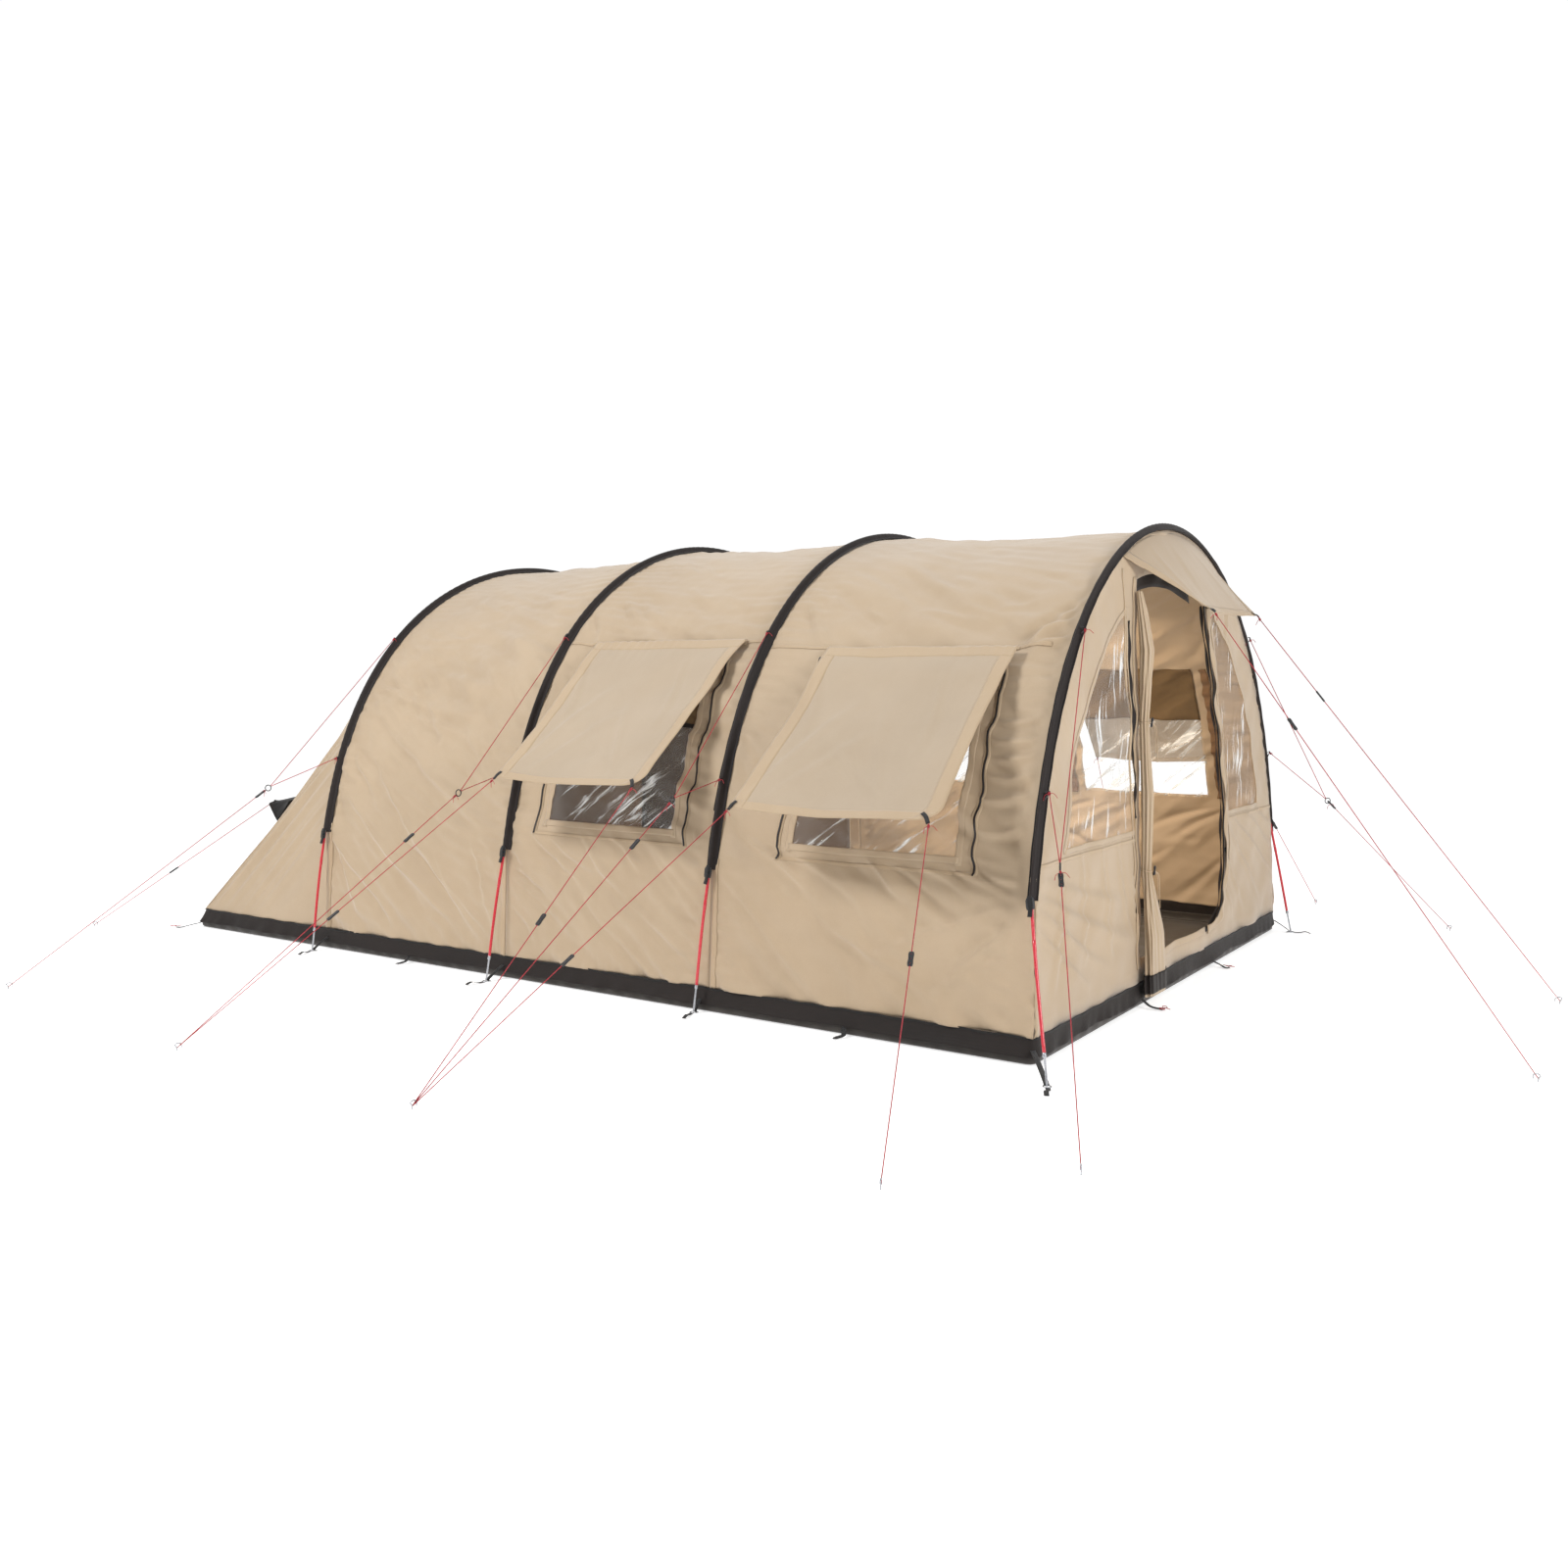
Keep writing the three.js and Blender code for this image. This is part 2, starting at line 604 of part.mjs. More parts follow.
function cabinBody(shrink) {
  const floor = CABIN.floor + shrink;
  const arch = skinOutline(HOOPS[0], CABIN.inset + shrink, floor);
  const last = arch.length - 1;
  const half = CABIN.rearHalf - shrink;
  const side = 4;
  const low = arch.map((_, c) => {
    const across = Math.min(1, Math.max(0, (c - side) / (last - 2 * side)));
    const up = Math.min(1, Math.min(c, last - c) / side);
    return [half * (2 * across - 1), floor + (CABIN.rearHeight - shrink - floor) * up];
  });
  const at = (outline, y) => outline.map(([x, z]) => new THREE.Vector3(x, y, z));
  return loft([at(arch, CABIN.front + shrink), at(arch, CABIN.shoulder), at(low, CABIN.rear - shrink)]);
}

function cabin() {
  const { half, bottom, top } = CABIN_DOOR;
  const doorway = box([-half, CABIN.front - 20, bottom], [half, CABIN.front + 20, top]);
  return cut(cabinBody(0), cabinBody(FABRIC), doorway);
}

function cabinDoor() {
  const { half, bottom, top, overlap, clear } = CABIN_DOOR;
  const back = CABIN.front - clear;
  return box([-half - overlap, back - FABRIC, bottom - overlap], [half + overlap, back, top + overlap]);
}

addPiece('sleeping_cabin', cabin(), 'canvas');
addPiece('cabin_door', cabinDoor(), 'mesh');

// ---------------------------------------------------------------- guy lines and tensioners

const PEG_HOOK = 12;             // height of the peg hooks that the lines end in
const TIE_HEIGHTS = [1570, 960]; // where each hoop's two guy legs are tied
const TIE_CLEAR = 3;

// Rings that gather a hoop's two guy legs, and the peg below each: [x, y, z] for the left
const HOOP_GUYS = [
  { hoop: 1, ring: [1836, 1970, 836], peg: [3015, 2250], set: 'hoop_1', slide: 57 },
  { hoop: 2, ring: [1842, 616, 878], peg: [3198, 701], set: 'hoop_2', slide: 332 },
  { hoop: 3, ring: [1833, -583, 908], peg: [3190, -572], set: 'hoop_3', slide: 285 },
  { hoop: 4, ring: [1786, -2201, 762], peg: [2548, -2596], set: 'hoop_4', slide: 65 },
];
const RIGHT_HOOP_4 = { ring: [1651, -2286, 723], peg: [2092, -2854], slide: 40 };
const COVER_PEG = { left: [2959, -2182], right: [2584, -2037] };
const REAR_PEG = [1948, 3398];
const AWNING_PEGS = { left: [-824, -3567], right: [510, -3517] };

const TENSIONER = { length: 56, width: 17, thickness: 10, bore: 5.4 };

function tensioner(from, to, distance) {
  const { length, width, thickness, bore } = TENSIONER;
  const [w, t] = [width / 2, thickness / 2];
  const section = polygon([[-w, -t], [w, -t], [w, t], [-w, t]]);
  section.holes.push(new THREE.Path(ring(bore / 2, bore / 2, 6)));
  const block = new THREE.ExtrudeGeometry(section, { depth: length, bevelEnabled: false });
  block.translate(0, 0, distance - length / 2);
  const direction = to.clone().sub(from).normalize();
  const sideways = new THREE.Vector3(-direction.y, direction.x, 0).normalize();
  const upwards = new THREE.Vector3().crossVectors(direction, sideways);
  return block.applyMatrix4(new THREE.Matrix4().makeBasis(sideways, upwards, direction).setPosition(from));
}

const guySets = new Map();

// A line from a point to a peg, kept with the other lines of the same set
function guyLine(set, from, to) {
  const rod = straightRod(from.toArray(), to.toArray(), LINE_DIAMETER);
  guySets.set(set, [...(guySets.get(set) ?? []), rod]);
}

// The front hoop's lines pull forwards, so they are tied in front of its sleeve
function tiePoint(hoop, side, height) {
  const forward = hoop.lean ? SLEEVE_SIZE[0] / 2 + TIE_CLEAR + 2 : 0;
  const out = forward ? 0 : -(SLEEVE_SIZE[1] / 2 + TIE_CLEAR);
  const outline = archOutline(hoop, out, SLEEVE_END, 200);
  const [x, z] = outline.find((p) => p[1] > height);
  return new THREE.Vector3(x * -side, hoopY(hoop, z) - forward, z);
}

const pegPoint = ([x, y], side) => new THREE.Vector3(x * side, y, PEG_HOOK);

function hoopGuy(guy, label, side) {
  const place = guy.hoop === 4 && side > 0 ? { ...guy, ...RIGHT_HOOP_4 } : guy;
  const gather = new THREE.Vector3(place.ring[0] * side, place.ring[1], place.ring[2]);
  const peg = pegPoint(place.peg, side);
  const set = `guy_${guy.set}_${label}`;
  for (const height of TIE_HEIGHTS) {
    guyLine(set, tiePoint(HOOPS[guy.hoop - 1], side, height), gather);
  }
  guyLine(set, gather, peg);
  addPiece(`tensioner_${guy.set}_${label}`, tensioner(gather, peg, place.slide), 'plastic');
}

// Covers' guy lines: which corner, the set whose peg it shares, and its tensioner's place
const COVER_GUYS = [
  { window: 0, corner: 'rear', set: 'hoop_2', slide: 0.545 },
  { window: 0, corner: 'front', set: 'hoop_3', slide: 0.47 },
  { window: 1, corner: 'rear', set: 'hoop_3', slide: 0.55 },
  { window: 1, corner: 'front', set: 'cover', slide: 0.433 },
];

function coverGuy(guy, label, side) {
  const window = WINDOWS[guy.window];
  const [x, z] = coverTip(window);
  const y = guy.corner === 'rear' ? window.tip[0] - 6 : window.tip[1] + 30;
  const tip = new THREE.Vector3((x + 5) * side, y, z - 3);
  const shared = HOOP_GUYS.find((h) => h.set === guy.set);
  const peg = pegPoint(shared ? shared.peg : COVER_PEG[label], side);
  guyLine(`guy_${guy.set}_${label}`, tip, peg);
  if (side < 0) {
    const place = tip.distanceTo(peg) * guy.slide;
    addPiece(`tensioner_cover_${window.bay}_${guy.corner}`, tensioner(tip, peg, place), 'plastic');
  }
}

for (const [label, side] of SIDES) {
  HOOP_GUYS.forEach((guy) => hoopGuy(guy, label, side));
  COVER_GUYS.forEach((guy) => coverGuy(guy, label, side));
  guyLine(`guy_rear_${label}`, cowlTip(side), pegPoint(REAR_PEG, side));
  const corner = new THREE.Vector3(side * (AWNING.tipHalf - 5), AWNING.tipY - 5, AWNING.tipZ - 5);
  const awningPeg = pegPoint(AWNING_PEGS[label], 1);
  guyLine(`guy_awning_${label}`, corner, awningPeg);
  const place = corner.distanceTo(awningPeg) * (side < 0 ? 0.278 : 0.22);
  addPiece(`tensioner_awning_${label}`, tensioner(corner, awningPeg, place), 'plastic');
}
for (const [set, rods] of guySets) {
  addPiece(set, rods.length > 1 ? join(...rods) : rods[0], 'red');
}

export default tent;
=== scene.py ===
import json
import math

import bpy
import numpy as np
from mathutils import Matrix, Vector


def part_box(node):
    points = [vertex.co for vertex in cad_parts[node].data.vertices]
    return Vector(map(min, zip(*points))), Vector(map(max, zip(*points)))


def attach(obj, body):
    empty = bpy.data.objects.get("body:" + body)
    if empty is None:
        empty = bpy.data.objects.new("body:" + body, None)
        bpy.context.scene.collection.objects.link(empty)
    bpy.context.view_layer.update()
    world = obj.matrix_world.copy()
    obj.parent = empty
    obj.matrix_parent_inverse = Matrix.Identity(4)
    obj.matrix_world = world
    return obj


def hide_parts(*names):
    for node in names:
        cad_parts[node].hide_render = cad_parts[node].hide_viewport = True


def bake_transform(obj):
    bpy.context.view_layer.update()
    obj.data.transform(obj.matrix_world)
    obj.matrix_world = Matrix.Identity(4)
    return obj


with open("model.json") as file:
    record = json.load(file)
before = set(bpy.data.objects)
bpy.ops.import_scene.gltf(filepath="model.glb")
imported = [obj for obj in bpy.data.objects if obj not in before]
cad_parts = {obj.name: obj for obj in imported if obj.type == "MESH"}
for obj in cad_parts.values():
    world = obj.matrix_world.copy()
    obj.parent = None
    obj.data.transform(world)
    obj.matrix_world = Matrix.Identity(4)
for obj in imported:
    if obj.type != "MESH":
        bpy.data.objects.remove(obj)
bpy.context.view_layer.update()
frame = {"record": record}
record = frame["record"]
JOINTS = {joint["name"]: joint for joint in record["behaviour"]["joints"]}

SIDES = {"left": -1.0, "right": 1.0}
TENT = "tent"

# ---------------------------------------------------------------- sizes that the CAD model holds

FABRIC = 0.003              # thickness of the CAD fabric panels
SKIN_INSET = 0.017          # a pole's centre line to the outside of the fabric
BEND_START = (84.6, 84.6, 84.6, 83.0)
BEND_FULLNESS = (1.3, 1.3, 1.3, 1.22)
HOOP_HALF_WIDTH = 1.682
WALL_HALF_WIDTH = 1.610
SLEEVE_HALF = (0.0203, 0.0120)
LEAN = (0.0, 0.0, 0.0, 0.060)
SKIRT_TOP = 0.1004


def sleeve_top(i):
    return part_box(f"pole_sleeve_{i}")[1]


def hoop_facts(i):
    low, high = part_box(f"pole_sleeve_{i}")
    y = high[1] - SLEEVE_HALF[0]
    return {"y": y, "height": high[2] - SLEEVE_HALF[1], "end": low[2], "lean": LEAN[i - 1]}


def bow(start, fullness, count=240):
    """The bow of a pole, from the left foot (-1, 0) over its top to the right foot (1, 0)."""
    place = (np.arange(count) + 0.5) / count
    bend = np.sin(np.pi * place) ** fullness
    turned = (np.cumsum(bend) - bend / 2) / bend.sum()
    angle = np.radians(start) * (1 - 2 * turned)
    x = np.concatenate([[0], np.cumsum(np.cos(angle))])
    z = np.concatenate([[0], np.cumsum(np.sin(angle))])
    return 2 * x / x[-1] - 1, z / z.max()


class Hoop:
    def __init__(self, number):
        self.__dict__.update(hoop_facts(number))
        x, z = bow(BEND_START[number - 1], BEND_FULLNESS[number - 1])
        self.x = x * HOOP_HALF_WIDTH
        self.z = z * self.height

    def plane_y(self, z):
        return self.y - self.lean * (1 - np.asarray(z) / self.height)

    def arch(self, inset, bottom, count):
        """Evenly spaced points and outward normals [x, z] of the arch above a height."""
        tangent = np.stack([np.gradient(self.x), np.gradient(self.z)], 1)
        tangent /= np.linalg.norm(tangent, axis=1)[:, None]
        normal = np.stack([-tangent[:, 1], tangent[:, 0]], 1)
        half = len(self.z) // 2
        first = np.interp(bottom, self.z[:half], np.arange(half))
        place = np.linspace(first, len(self.z) - 1 - first, count)
        index = np.arange(len(self.z))
        at = lambda values: np.interp(place, index, values)
        point = np.stack([at(self.x), at(self.z)], 1)
        out = np.stack([at(normal[:, 0]), at(normal[:, 1])], 1)
        return point - out * inset, out

    def skin(self, inset, bottom):
        """The fabric's outline [x, z]: straight walls up to the sleeve ends, and the arch."""
        points, _ = self.arch(SKIN_INSET + inset, self.end, 161)
        foot = WALL_HALF_WIDTH - inset
        wall_x = foot - (foot + points[0, 0]) * bottom / points[0, 1]
        low = np.linspace([-wall_x, bottom], points[0], 12)[:-1]
        return np.concatenate([low, points, low[::-1] * [-1, 1]])


HOOPS = [Hoop(number) for number in (1, 2, 3, 4)]
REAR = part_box("groundsheet")[1][1]
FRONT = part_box("groundsheet")[0][1]


def front_y(z):
    """Y of the front wall's leaning face."""
    share = 1 - np.asarray(z) / HOOPS[3].height
    return HOOPS[3].plane_y(z) + (FRONT - HOOPS[3].plane_y(0)) * share


# ---------------------------------------------------------------- small mesh helpers

def new_mesh(name, points, faces, material, smooth=True):
    mesh = bpy.data.meshes.new(name)
    mesh.from_pydata([tuple(map(float, p)) for p in points], [], [tuple(map(int, f)) for f in faces])
    mesh.validate()
    mesh.update()
    obj = bpy.data.objects.new(name, mesh)
    bpy.context.collection.objects.link(obj)
    if material is not None:
        mesh.materials.append(material)
    if smooth:
        mesh.shade_smooth()
    return obj


def grid_faces(rows, columns, keep=None, closed=False):
    faces = []
    last = columns if closed else columns - 1
    for r in range(rows - 1):
        for c in range(last):
            if keep is None or keep[r, c]:
                d = (c + 1) % columns
                faces.append((r * columns + c, r * columns + d, (r + 1) * columns + d, (r + 1) * columns + c))
    return faces


def grid_object(name, grid, material, keep=None, closed=False):
    rows, columns = grid.shape[:2]
    obj = new_mesh(name, grid.reshape(-1, 3), grid_faces(rows, columns, keep, closed), material)
    if keep is not None:
        drop_loose(obj)
    return obj


def drop_loose(obj):
    import bmesh
    work = bmesh.new()
    work.from_mesh(obj.data)
    loose = [v for v in work.verts if not v.link_faces]
    bmesh.ops.delete(work, geom=loose, context="VERTS")
    work.to_mesh(obj.data)
    work.free()


def add_modifier(obj, kind, **settings):
    modifier = obj.modifiers.new(kind.lower(), kind)
    for key, value in settings.items():
        setattr(modifier, key, value)
    return modifier


def thicken(obj, thickness=0.0012, offset=-1.0):
    add_modifier(obj, "SOLIDIFY", thickness=thickness, offset=offset)
    return obj


def face_normals_out(obj, flip):
    if flip:
        obj.data.flip_normals()
    return obj


def join_pieces(name, parts):
    """One object from several, each keeping its material."""
    bpy.ops.object.select_all(action="DESELECT")
    for part in parts:
        part.select_set(True)
    bpy.context.view_layer.objects.active = parts[0]
    bpy.ops.object.convert(target="MESH")
    bpy.ops.object.join()
    parts[0].name = name
    parts[0].data.name = name
    return parts[0]


def frames_along(path):
    """Steady sideways and upward directions along a path, with no sudden twist."""
    path = np.asarray(path, float)
    tangent = np.gradient(path, axis=0)
    tangent /= np.linalg.norm(tangent, axis=1)[:, None]
    start = np.array([0, 0, 1.0]) if abs(tangent[0, 2]) < 0.9 else np.array([0, 1.0, 0])
    side = np.cross(tangent[0], start)
    sides = []
    for t in tangent:
        side = side - t * side.dot(t)
        side = side / np.linalg.norm(side)
        sides.append(side)
    sides = np.array(sides)
    return tangent, sides, np.cross(sides, tangent)


def tube(name, path, radius, material, sides=10, caps=True):
    """A closed round tube along a path. The radius may be one number or one for each point."""
    path = np.asarray(path, float)
    _, side, up = frames_along(path)
    angle = np.linspace(0, 2 * np.pi, sides, endpoint=False)
    radius = np.broadcast_to(np.asarray(radius, float), (len(path),))
    around = side[:, None] * np.cos(angle)[None, :, None] + up[:, None] * np.sin(angle)[None, :, None]
    grid = path[:, None] + around * radius[:, None, None]
    faces = grid_faces(len(path), sides, closed=True)
    if caps:
        faces.append(tuple(range(sides - 1, -1, -1)))
        faces.append(tuple((len(path) - 1) * sides + k for k in range(sides)))
    return new_mesh(name, grid.reshape(-1, 3), faces, material)


def strap(name, path, width, thickness, material, across=None):
    """A flat strap along a path; across is the direction of its width."""
    path = np.asarray(path, float)
    tangent, side, up = frames_along(path)
    if across is not None:
        side = np.broadcast_to(np.asarray(across, float), path.shape)
        side = side - tangent * np.sum(side * tangent, axis=1)[:, None]
        side = side / np.linalg.norm(side, axis=1)[:, None]
        up = np.cross(side, tangent)
    w, t = width / 2, thickness / 2
    e = min(w, t) * 0.6
    outline = [(-w + e, -t), (w - e, -t), (w, -t + e), (w, t - e), (w - e, t), (-w + e, t), (-w, t - e), (-w, -t + e)]
    grid = np.stack([path + side * a + up * b for a, b in outline], 1)
    faces = grid_faces(len(path), 8, closed=True)
    faces.append(tuple(range(7, -1, -1)))
    faces.append(tuple((len(path) - 1) * 8 + k for k in range(8)))
    return new_mesh(name, grid.reshape(-1, 3), faces, material)


def smooth_path(points, count=24):
    """A smooth curve through a few points."""
    points = np.asarray(points, float)
    step = np.concatenate([[0], np.cumsum(np.linalg.norm(np.diff(points, axis=0), axis=1) ** 0.5)])
    fine = np.linspace(0, step[-1], count)
    slope = np.gradient(points, step, axis=0)
    out = []
    for s in fine:
        i = min(np.searchsorted(step, s, side="right") - 1, len(points) - 2)
        width = step[i + 1] - step[i]
        t = (s - step[i]) / width
        a = (1 + 2 * t) * (1 - t) ** 2
        b = t * (1 - t) ** 2 * width
        c = t * t * (3 - 2 * t)
        d = t * t * (t - 1) * width
        out.append(a * points[i] + b * slope[i] + c * points[i + 1] + d * slope[i + 1])
    return np.array(out)


# ---------------------------------------------------------------- materials

def linear(r, g, b):
    """An sRGB colour, 0 to 255, as the linear colour that shaders take."""
    def one(v):
        v /= 255
        return v / 12.92 if v <= 0.04045 else ((v + 0.055) / 1.055) ** 2.4
    return (one(r), one(g), one(b), 1.0)


def add_node(tree, kind, **inputs):
    node = tree.nodes.new(kind)
    for key, value in inputs.items():
        node.inputs[key.replace("_", " ")].default_value = value
    return node


def woven(name, light, dark, roughness=0.75, thread=700.0, weave=0.12, sheen=0.15, blotch=2.2, grime=0.35, shine=0.3):
    """Woven cloth: fine crossed threads in the bump, slow changes of colour, and a soft sheen."""
    material = bpy.data.materials.new(name)
    material.use_nodes = True
    tree = material.node_tree
    shader = tree.nodes["Principled BSDF"]
    shader.inputs["Roughness"].default_value = roughness
    shader.inputs["Sheen Weight"].default_value = sheen
    shader.inputs["Sheen Roughness"].default_value = 0.5
    shader.inputs["Specular IOR Level"].default_value = shine
    place = tree.nodes.new("ShaderNodeTexCoord")
    slow = add_node(tree, "ShaderNodeTexNoise", Scale=blotch, Detail=5.0, Roughness=0.6)
    fine = add_node(tree, "ShaderNodeTexNoise", Scale=260.0, Detail=2.0, Roughness=0.5)
    tree.links.new(place.outputs["Object"], slow.inputs["Vector"])
    tree.links.new(place.outputs["Object"], fine.inputs["Vector"])
    both = add_node(tree, "ShaderNodeMath")
    both.operation = "MULTIPLY_ADD"
    both.inputs[1].default_value = 0.28
    tree.links.new(fine.outputs["Fac"], both.inputs[0])
    tree.links.new(slow.outputs["Fac"], both.inputs[2])
    ramp = tree.nodes.new("ShaderNodeValToRGB")
    ramp.color_ramp.elements[0].position = 0.5 - grime / 2
    ramp.color_ramp.elements[1].position = 0.78 + grime / 4
    ramp.color_ramp.elements[0].color = dark
    ramp.color_ramp.elements[1].color = light
    tree.links.new(both.outputs[0], ramp.inputs["Fac"])
    tree.links.new(ramp.outputs["Color"], shader.inputs["Base Color"])
    threads = []
    for direction in ("X", "Y", "Z"):
        band = add_node(tree, "ShaderNodeTexWave", Scale=thread / 6.283, Distortion=0.6, Detail=1.0)
        band.bands_direction = direction
        tree.links.new(place.outputs["Object"], band.inputs["Vector"])
        threads.append(band)
    total = None
    for band in threads:
        if total is None:
            total = band.outputs["Fac"]
            continue
        plus = tree.nodes.new("ShaderNodeMath")
        plus.operation = "ADD"
        tree.links.new(total, plus.inputs[0])
        tree.links.new(band.outputs["Fac"], plus.inputs[1])
        total = plus.outputs[0]
    bump = add_node(tree, "ShaderNodeBump", Strength=weave, Distance=0.0006)
    tree.links.new(total, bump.inputs["Height"])
    crumple = add_node(tree, "ShaderNodeTexNoise", Scale=22.0, Detail=4.0, Roughness=0.55, Distortion=0.4)
    tree.links.new(place.outputs["Object"], crumple.inputs["Vector"])
    soft = add_node(tree, "ShaderNodeBump", Strength=0.18, Distance=0.006)
    tree.links.new(crumple.outputs["Fac"], soft.inputs["Height"])
    tree.links.new(bump.outputs["Normal"], soft.inputs["Normal"])
    tree.links.new(soft.outputs["Normal"], shader.inputs["Normal"])
    rough = add_node(tree, "ShaderNodeMapRange", From_Min=0.2, From_Max=0.8, To_Min=roughness - 0.08, To_Max=roughness + 0.1)
    tree.links.new(slow.outputs["Fac"], rough.inputs["Value"])
    tree.links.new(rough.outputs["Result"], shader.inputs["Roughness"])
    return material


def moulded(name, light, dark, roughness=0.4, metallic=0.0, grain=180.0, bumps=0.08, coat=0.0):
    """Moulded, painted or drawn surfaces: slight mottling and fine scratches."""
    material = bpy.data.materials.new(name)
    material.use_nodes = True
    tree = material.node_tree
    shader = tree.nodes["Principled BSDF"]
    shader.inputs["Metallic"].default_value = metallic
    shader.inputs["Coat Weight"].default_value = coat
    place = tree.nodes.new("ShaderNodeTexCoord")
    noise = add_node(tree, "ShaderNodeTexNoise", Scale=grain, Detail=4.0, Roughness=0.6)
    tree.links.new(place.outputs["Object"], noise.inputs["Vector"])
    ramp = tree.nodes.new("ShaderNodeValToRGB")
    ramp.color_ramp.elements[0].position = 0.3
    ramp.color_ramp.elements[1].position = 0.7
    ramp.color_ramp.elements[0].color = dark
    ramp.color_ramp.elements[1].color = light
    tree.links.new(noise.outputs["Fac"], ramp.inputs["Fac"])
    tree.links.new(ramp.outputs["Color"], shader.inputs["Base Color"])
    bump = add_node(tree, "ShaderNodeBump", Strength=bumps, Distance=0.0005)
    tree.links.new(noise.outputs["Fac"], bump.inputs["Height"])
    tree.links.new(bump.outputs["Normal"], shader.inputs["Normal"])
    rough = add_node(tree, "ShaderNodeMapRange", From_Min=0.25, From_Max=0.75, To_Min=roughness - 0.06, To_Max=roughness + 0.12)
    tree.links.new(noise.outputs["Fac"], rough.inputs["Value"])
    tree.links.new(rough.outputs["Result"], shader.inputs["Roughness"])
    return material


def see_through(name, light, dark, alpha, roughness, crinkle=0.5, scale=9.0, weave=0.0):
    """Clear film or open mesh: a thin sheet that lets most of what is behind it show."""
    material = bpy.data.materials.new(name)
    material.use_nodes = True
    tree = material.node_tree
    shader = tree.nodes["Principled BSDF"]
    shader.inputs["Alpha"].default_value = alpha
    shader.inputs["Specular IOR Level"].default_value = 0.8 if weave == 0 else 0.2
    place = tree.nodes.new("ShaderNodeTexCoord")
    noise = add_node(tree, "ShaderNodeTexNoise", Scale=scale, Detail=6.0, Roughness=0.65, Distortion=1.2)
    tree.links.new(place.outputs["Object"], noise.inputs["Vector"])
    ramp = tree.nodes.new("ShaderNodeValToRGB")
    ramp.color_ramp.elements[0].color = dark
    ramp.color_ramp.elements[1].color = light
    tree.links.new(noise.outputs["Fac"], ramp.inputs["Fac"])
    tree.links.new(ramp.outputs["Color"], shader.inputs["Base Color"])
    height = noise.outputs["Fac"]
    if weave:
        band = add_node(tree, "ShaderNodeTexWave", Scale=weave / 6.283)
        band.bands_direction = "Z"
        tree.links.new(place.outputs["Object"], band.inputs["Vector"])
        height = band.outputs["Fac"]
    bump = add_node(tree, "ShaderNodeBump", Strength=crinkle, Distance=0.01)
    tree.links.new(height, bump.inputs["Height"])
    tree.links.new(bump.outputs["Normal"], shader.inputs["Normal"])
    rough = add_node(tree, "ShaderNodeMapRange", From_Min=0.2, From_Max=0.8, To_Min=roughness, To_Max=roughness + 0.12)
    tree.links.new(noise.outputs["Fac"], rough.inputs["Value"])
    tree.links.new(rough.outputs["Result"], shader.inputs["Roughness"])
    material.surface_render_method = "BLENDED"
    return material


def clear_film_with_painted_glints(name, turn, axis):
    """Clear plastic film: nearly invisible, with painted highlights: white streaks painted into its alpha where its
    crinkles would catch the light.
    turn is the streaks' angle in degrees in the sheet's plane, which faces along the given axis."""
    material = see_through(name, linear(244, 246, 246), linear(236, 239, 239), 0.06, 0.06, 0.25, 5.0)
    tree = material.node_tree
    shader = tree.nodes["Principled BSDF"]
    place = tree.nodes.new("ShaderNodeTexCoord")
    turned = tree.nodes.new("ShaderNodeMapping")
    turned.inputs["Rotation"].default_value = (math.radians(turn), 0, 0) if axis == "X" else (0, math.radians(turn), 0)
    stretch = tree.nodes.new("ShaderNodeMapping")
    stretch.inputs["Scale"].default_value = (1.0, 3.2, 34.0) if axis == "X" else (3.2, 1.0, 34.0)
    tree.links.new(place.outputs["Object"], turned.inputs["Vector"])
    tree.links.new(turned.outputs["Vector"], stretch.inputs["Vector"])
    # Painted highlights: noise stretched along the streaks' angle, with patchy noise, makes the near-white film opaque
    # in thin streaks that stand in for glints on its crinkles
    painted_glint_streak = add_node(tree, "ShaderNodeTexNoise", Scale=1.0, Detail=4.0, Roughness=0.6, Distortion=0.7)
    tree.links.new(stretch.outputs["Vector"], painted_glint_streak.inputs["Vector"])
    patchy = add_node(tree, "ShaderNodeTexNoise", Scale=4.5, Detail=2.0)
    tree.links.new(place.outputs["Object"], patchy.inputs["Vector"])
    painted_glint_mask = add_node(tree, "ShaderNodeMath")
    painted_glint_mask.operation = "MULTIPLY_ADD"
    painted_glint_mask.inputs[1].default_value = 0.35
    tree.links.new(patchy.outputs["Fac"], painted_glint_mask.inputs[0])
    tree.links.new(painted_glint_streak.outputs["Fac"], painted_glint_mask.inputs[2])
    ramp = tree.nodes.new("ShaderNodeValToRGB")
    for element, position, value in zip(ramp.color_ramp.elements, (0.74, 0.90), (0.05, 0.80)):
        element.position = position
        element.color = (value, value, value, 1)
    tree.links.new(painted_glint_mask.outputs[0], ramp.inputs["Fac"])
    tree.links.new(ramp.outputs["Color"], shader.inputs["Alpha"])
    return material


CANVAS = woven("canvas", linear(179, 158, 131), linear(168, 146, 118), roughness=0.60, sheen=0.30, shine=0.45)
HEM = woven("canvas_hem", linear(180, 158, 129), linear(170, 147, 118), weave=0.2, roughness=0.62, sheen=0.25, shine=0.4)
COVER = woven("canvas_cover", linear(175, 157, 134), linear(164, 146, 123), roughness=0.62, sheen=0.25, shine=0.4)
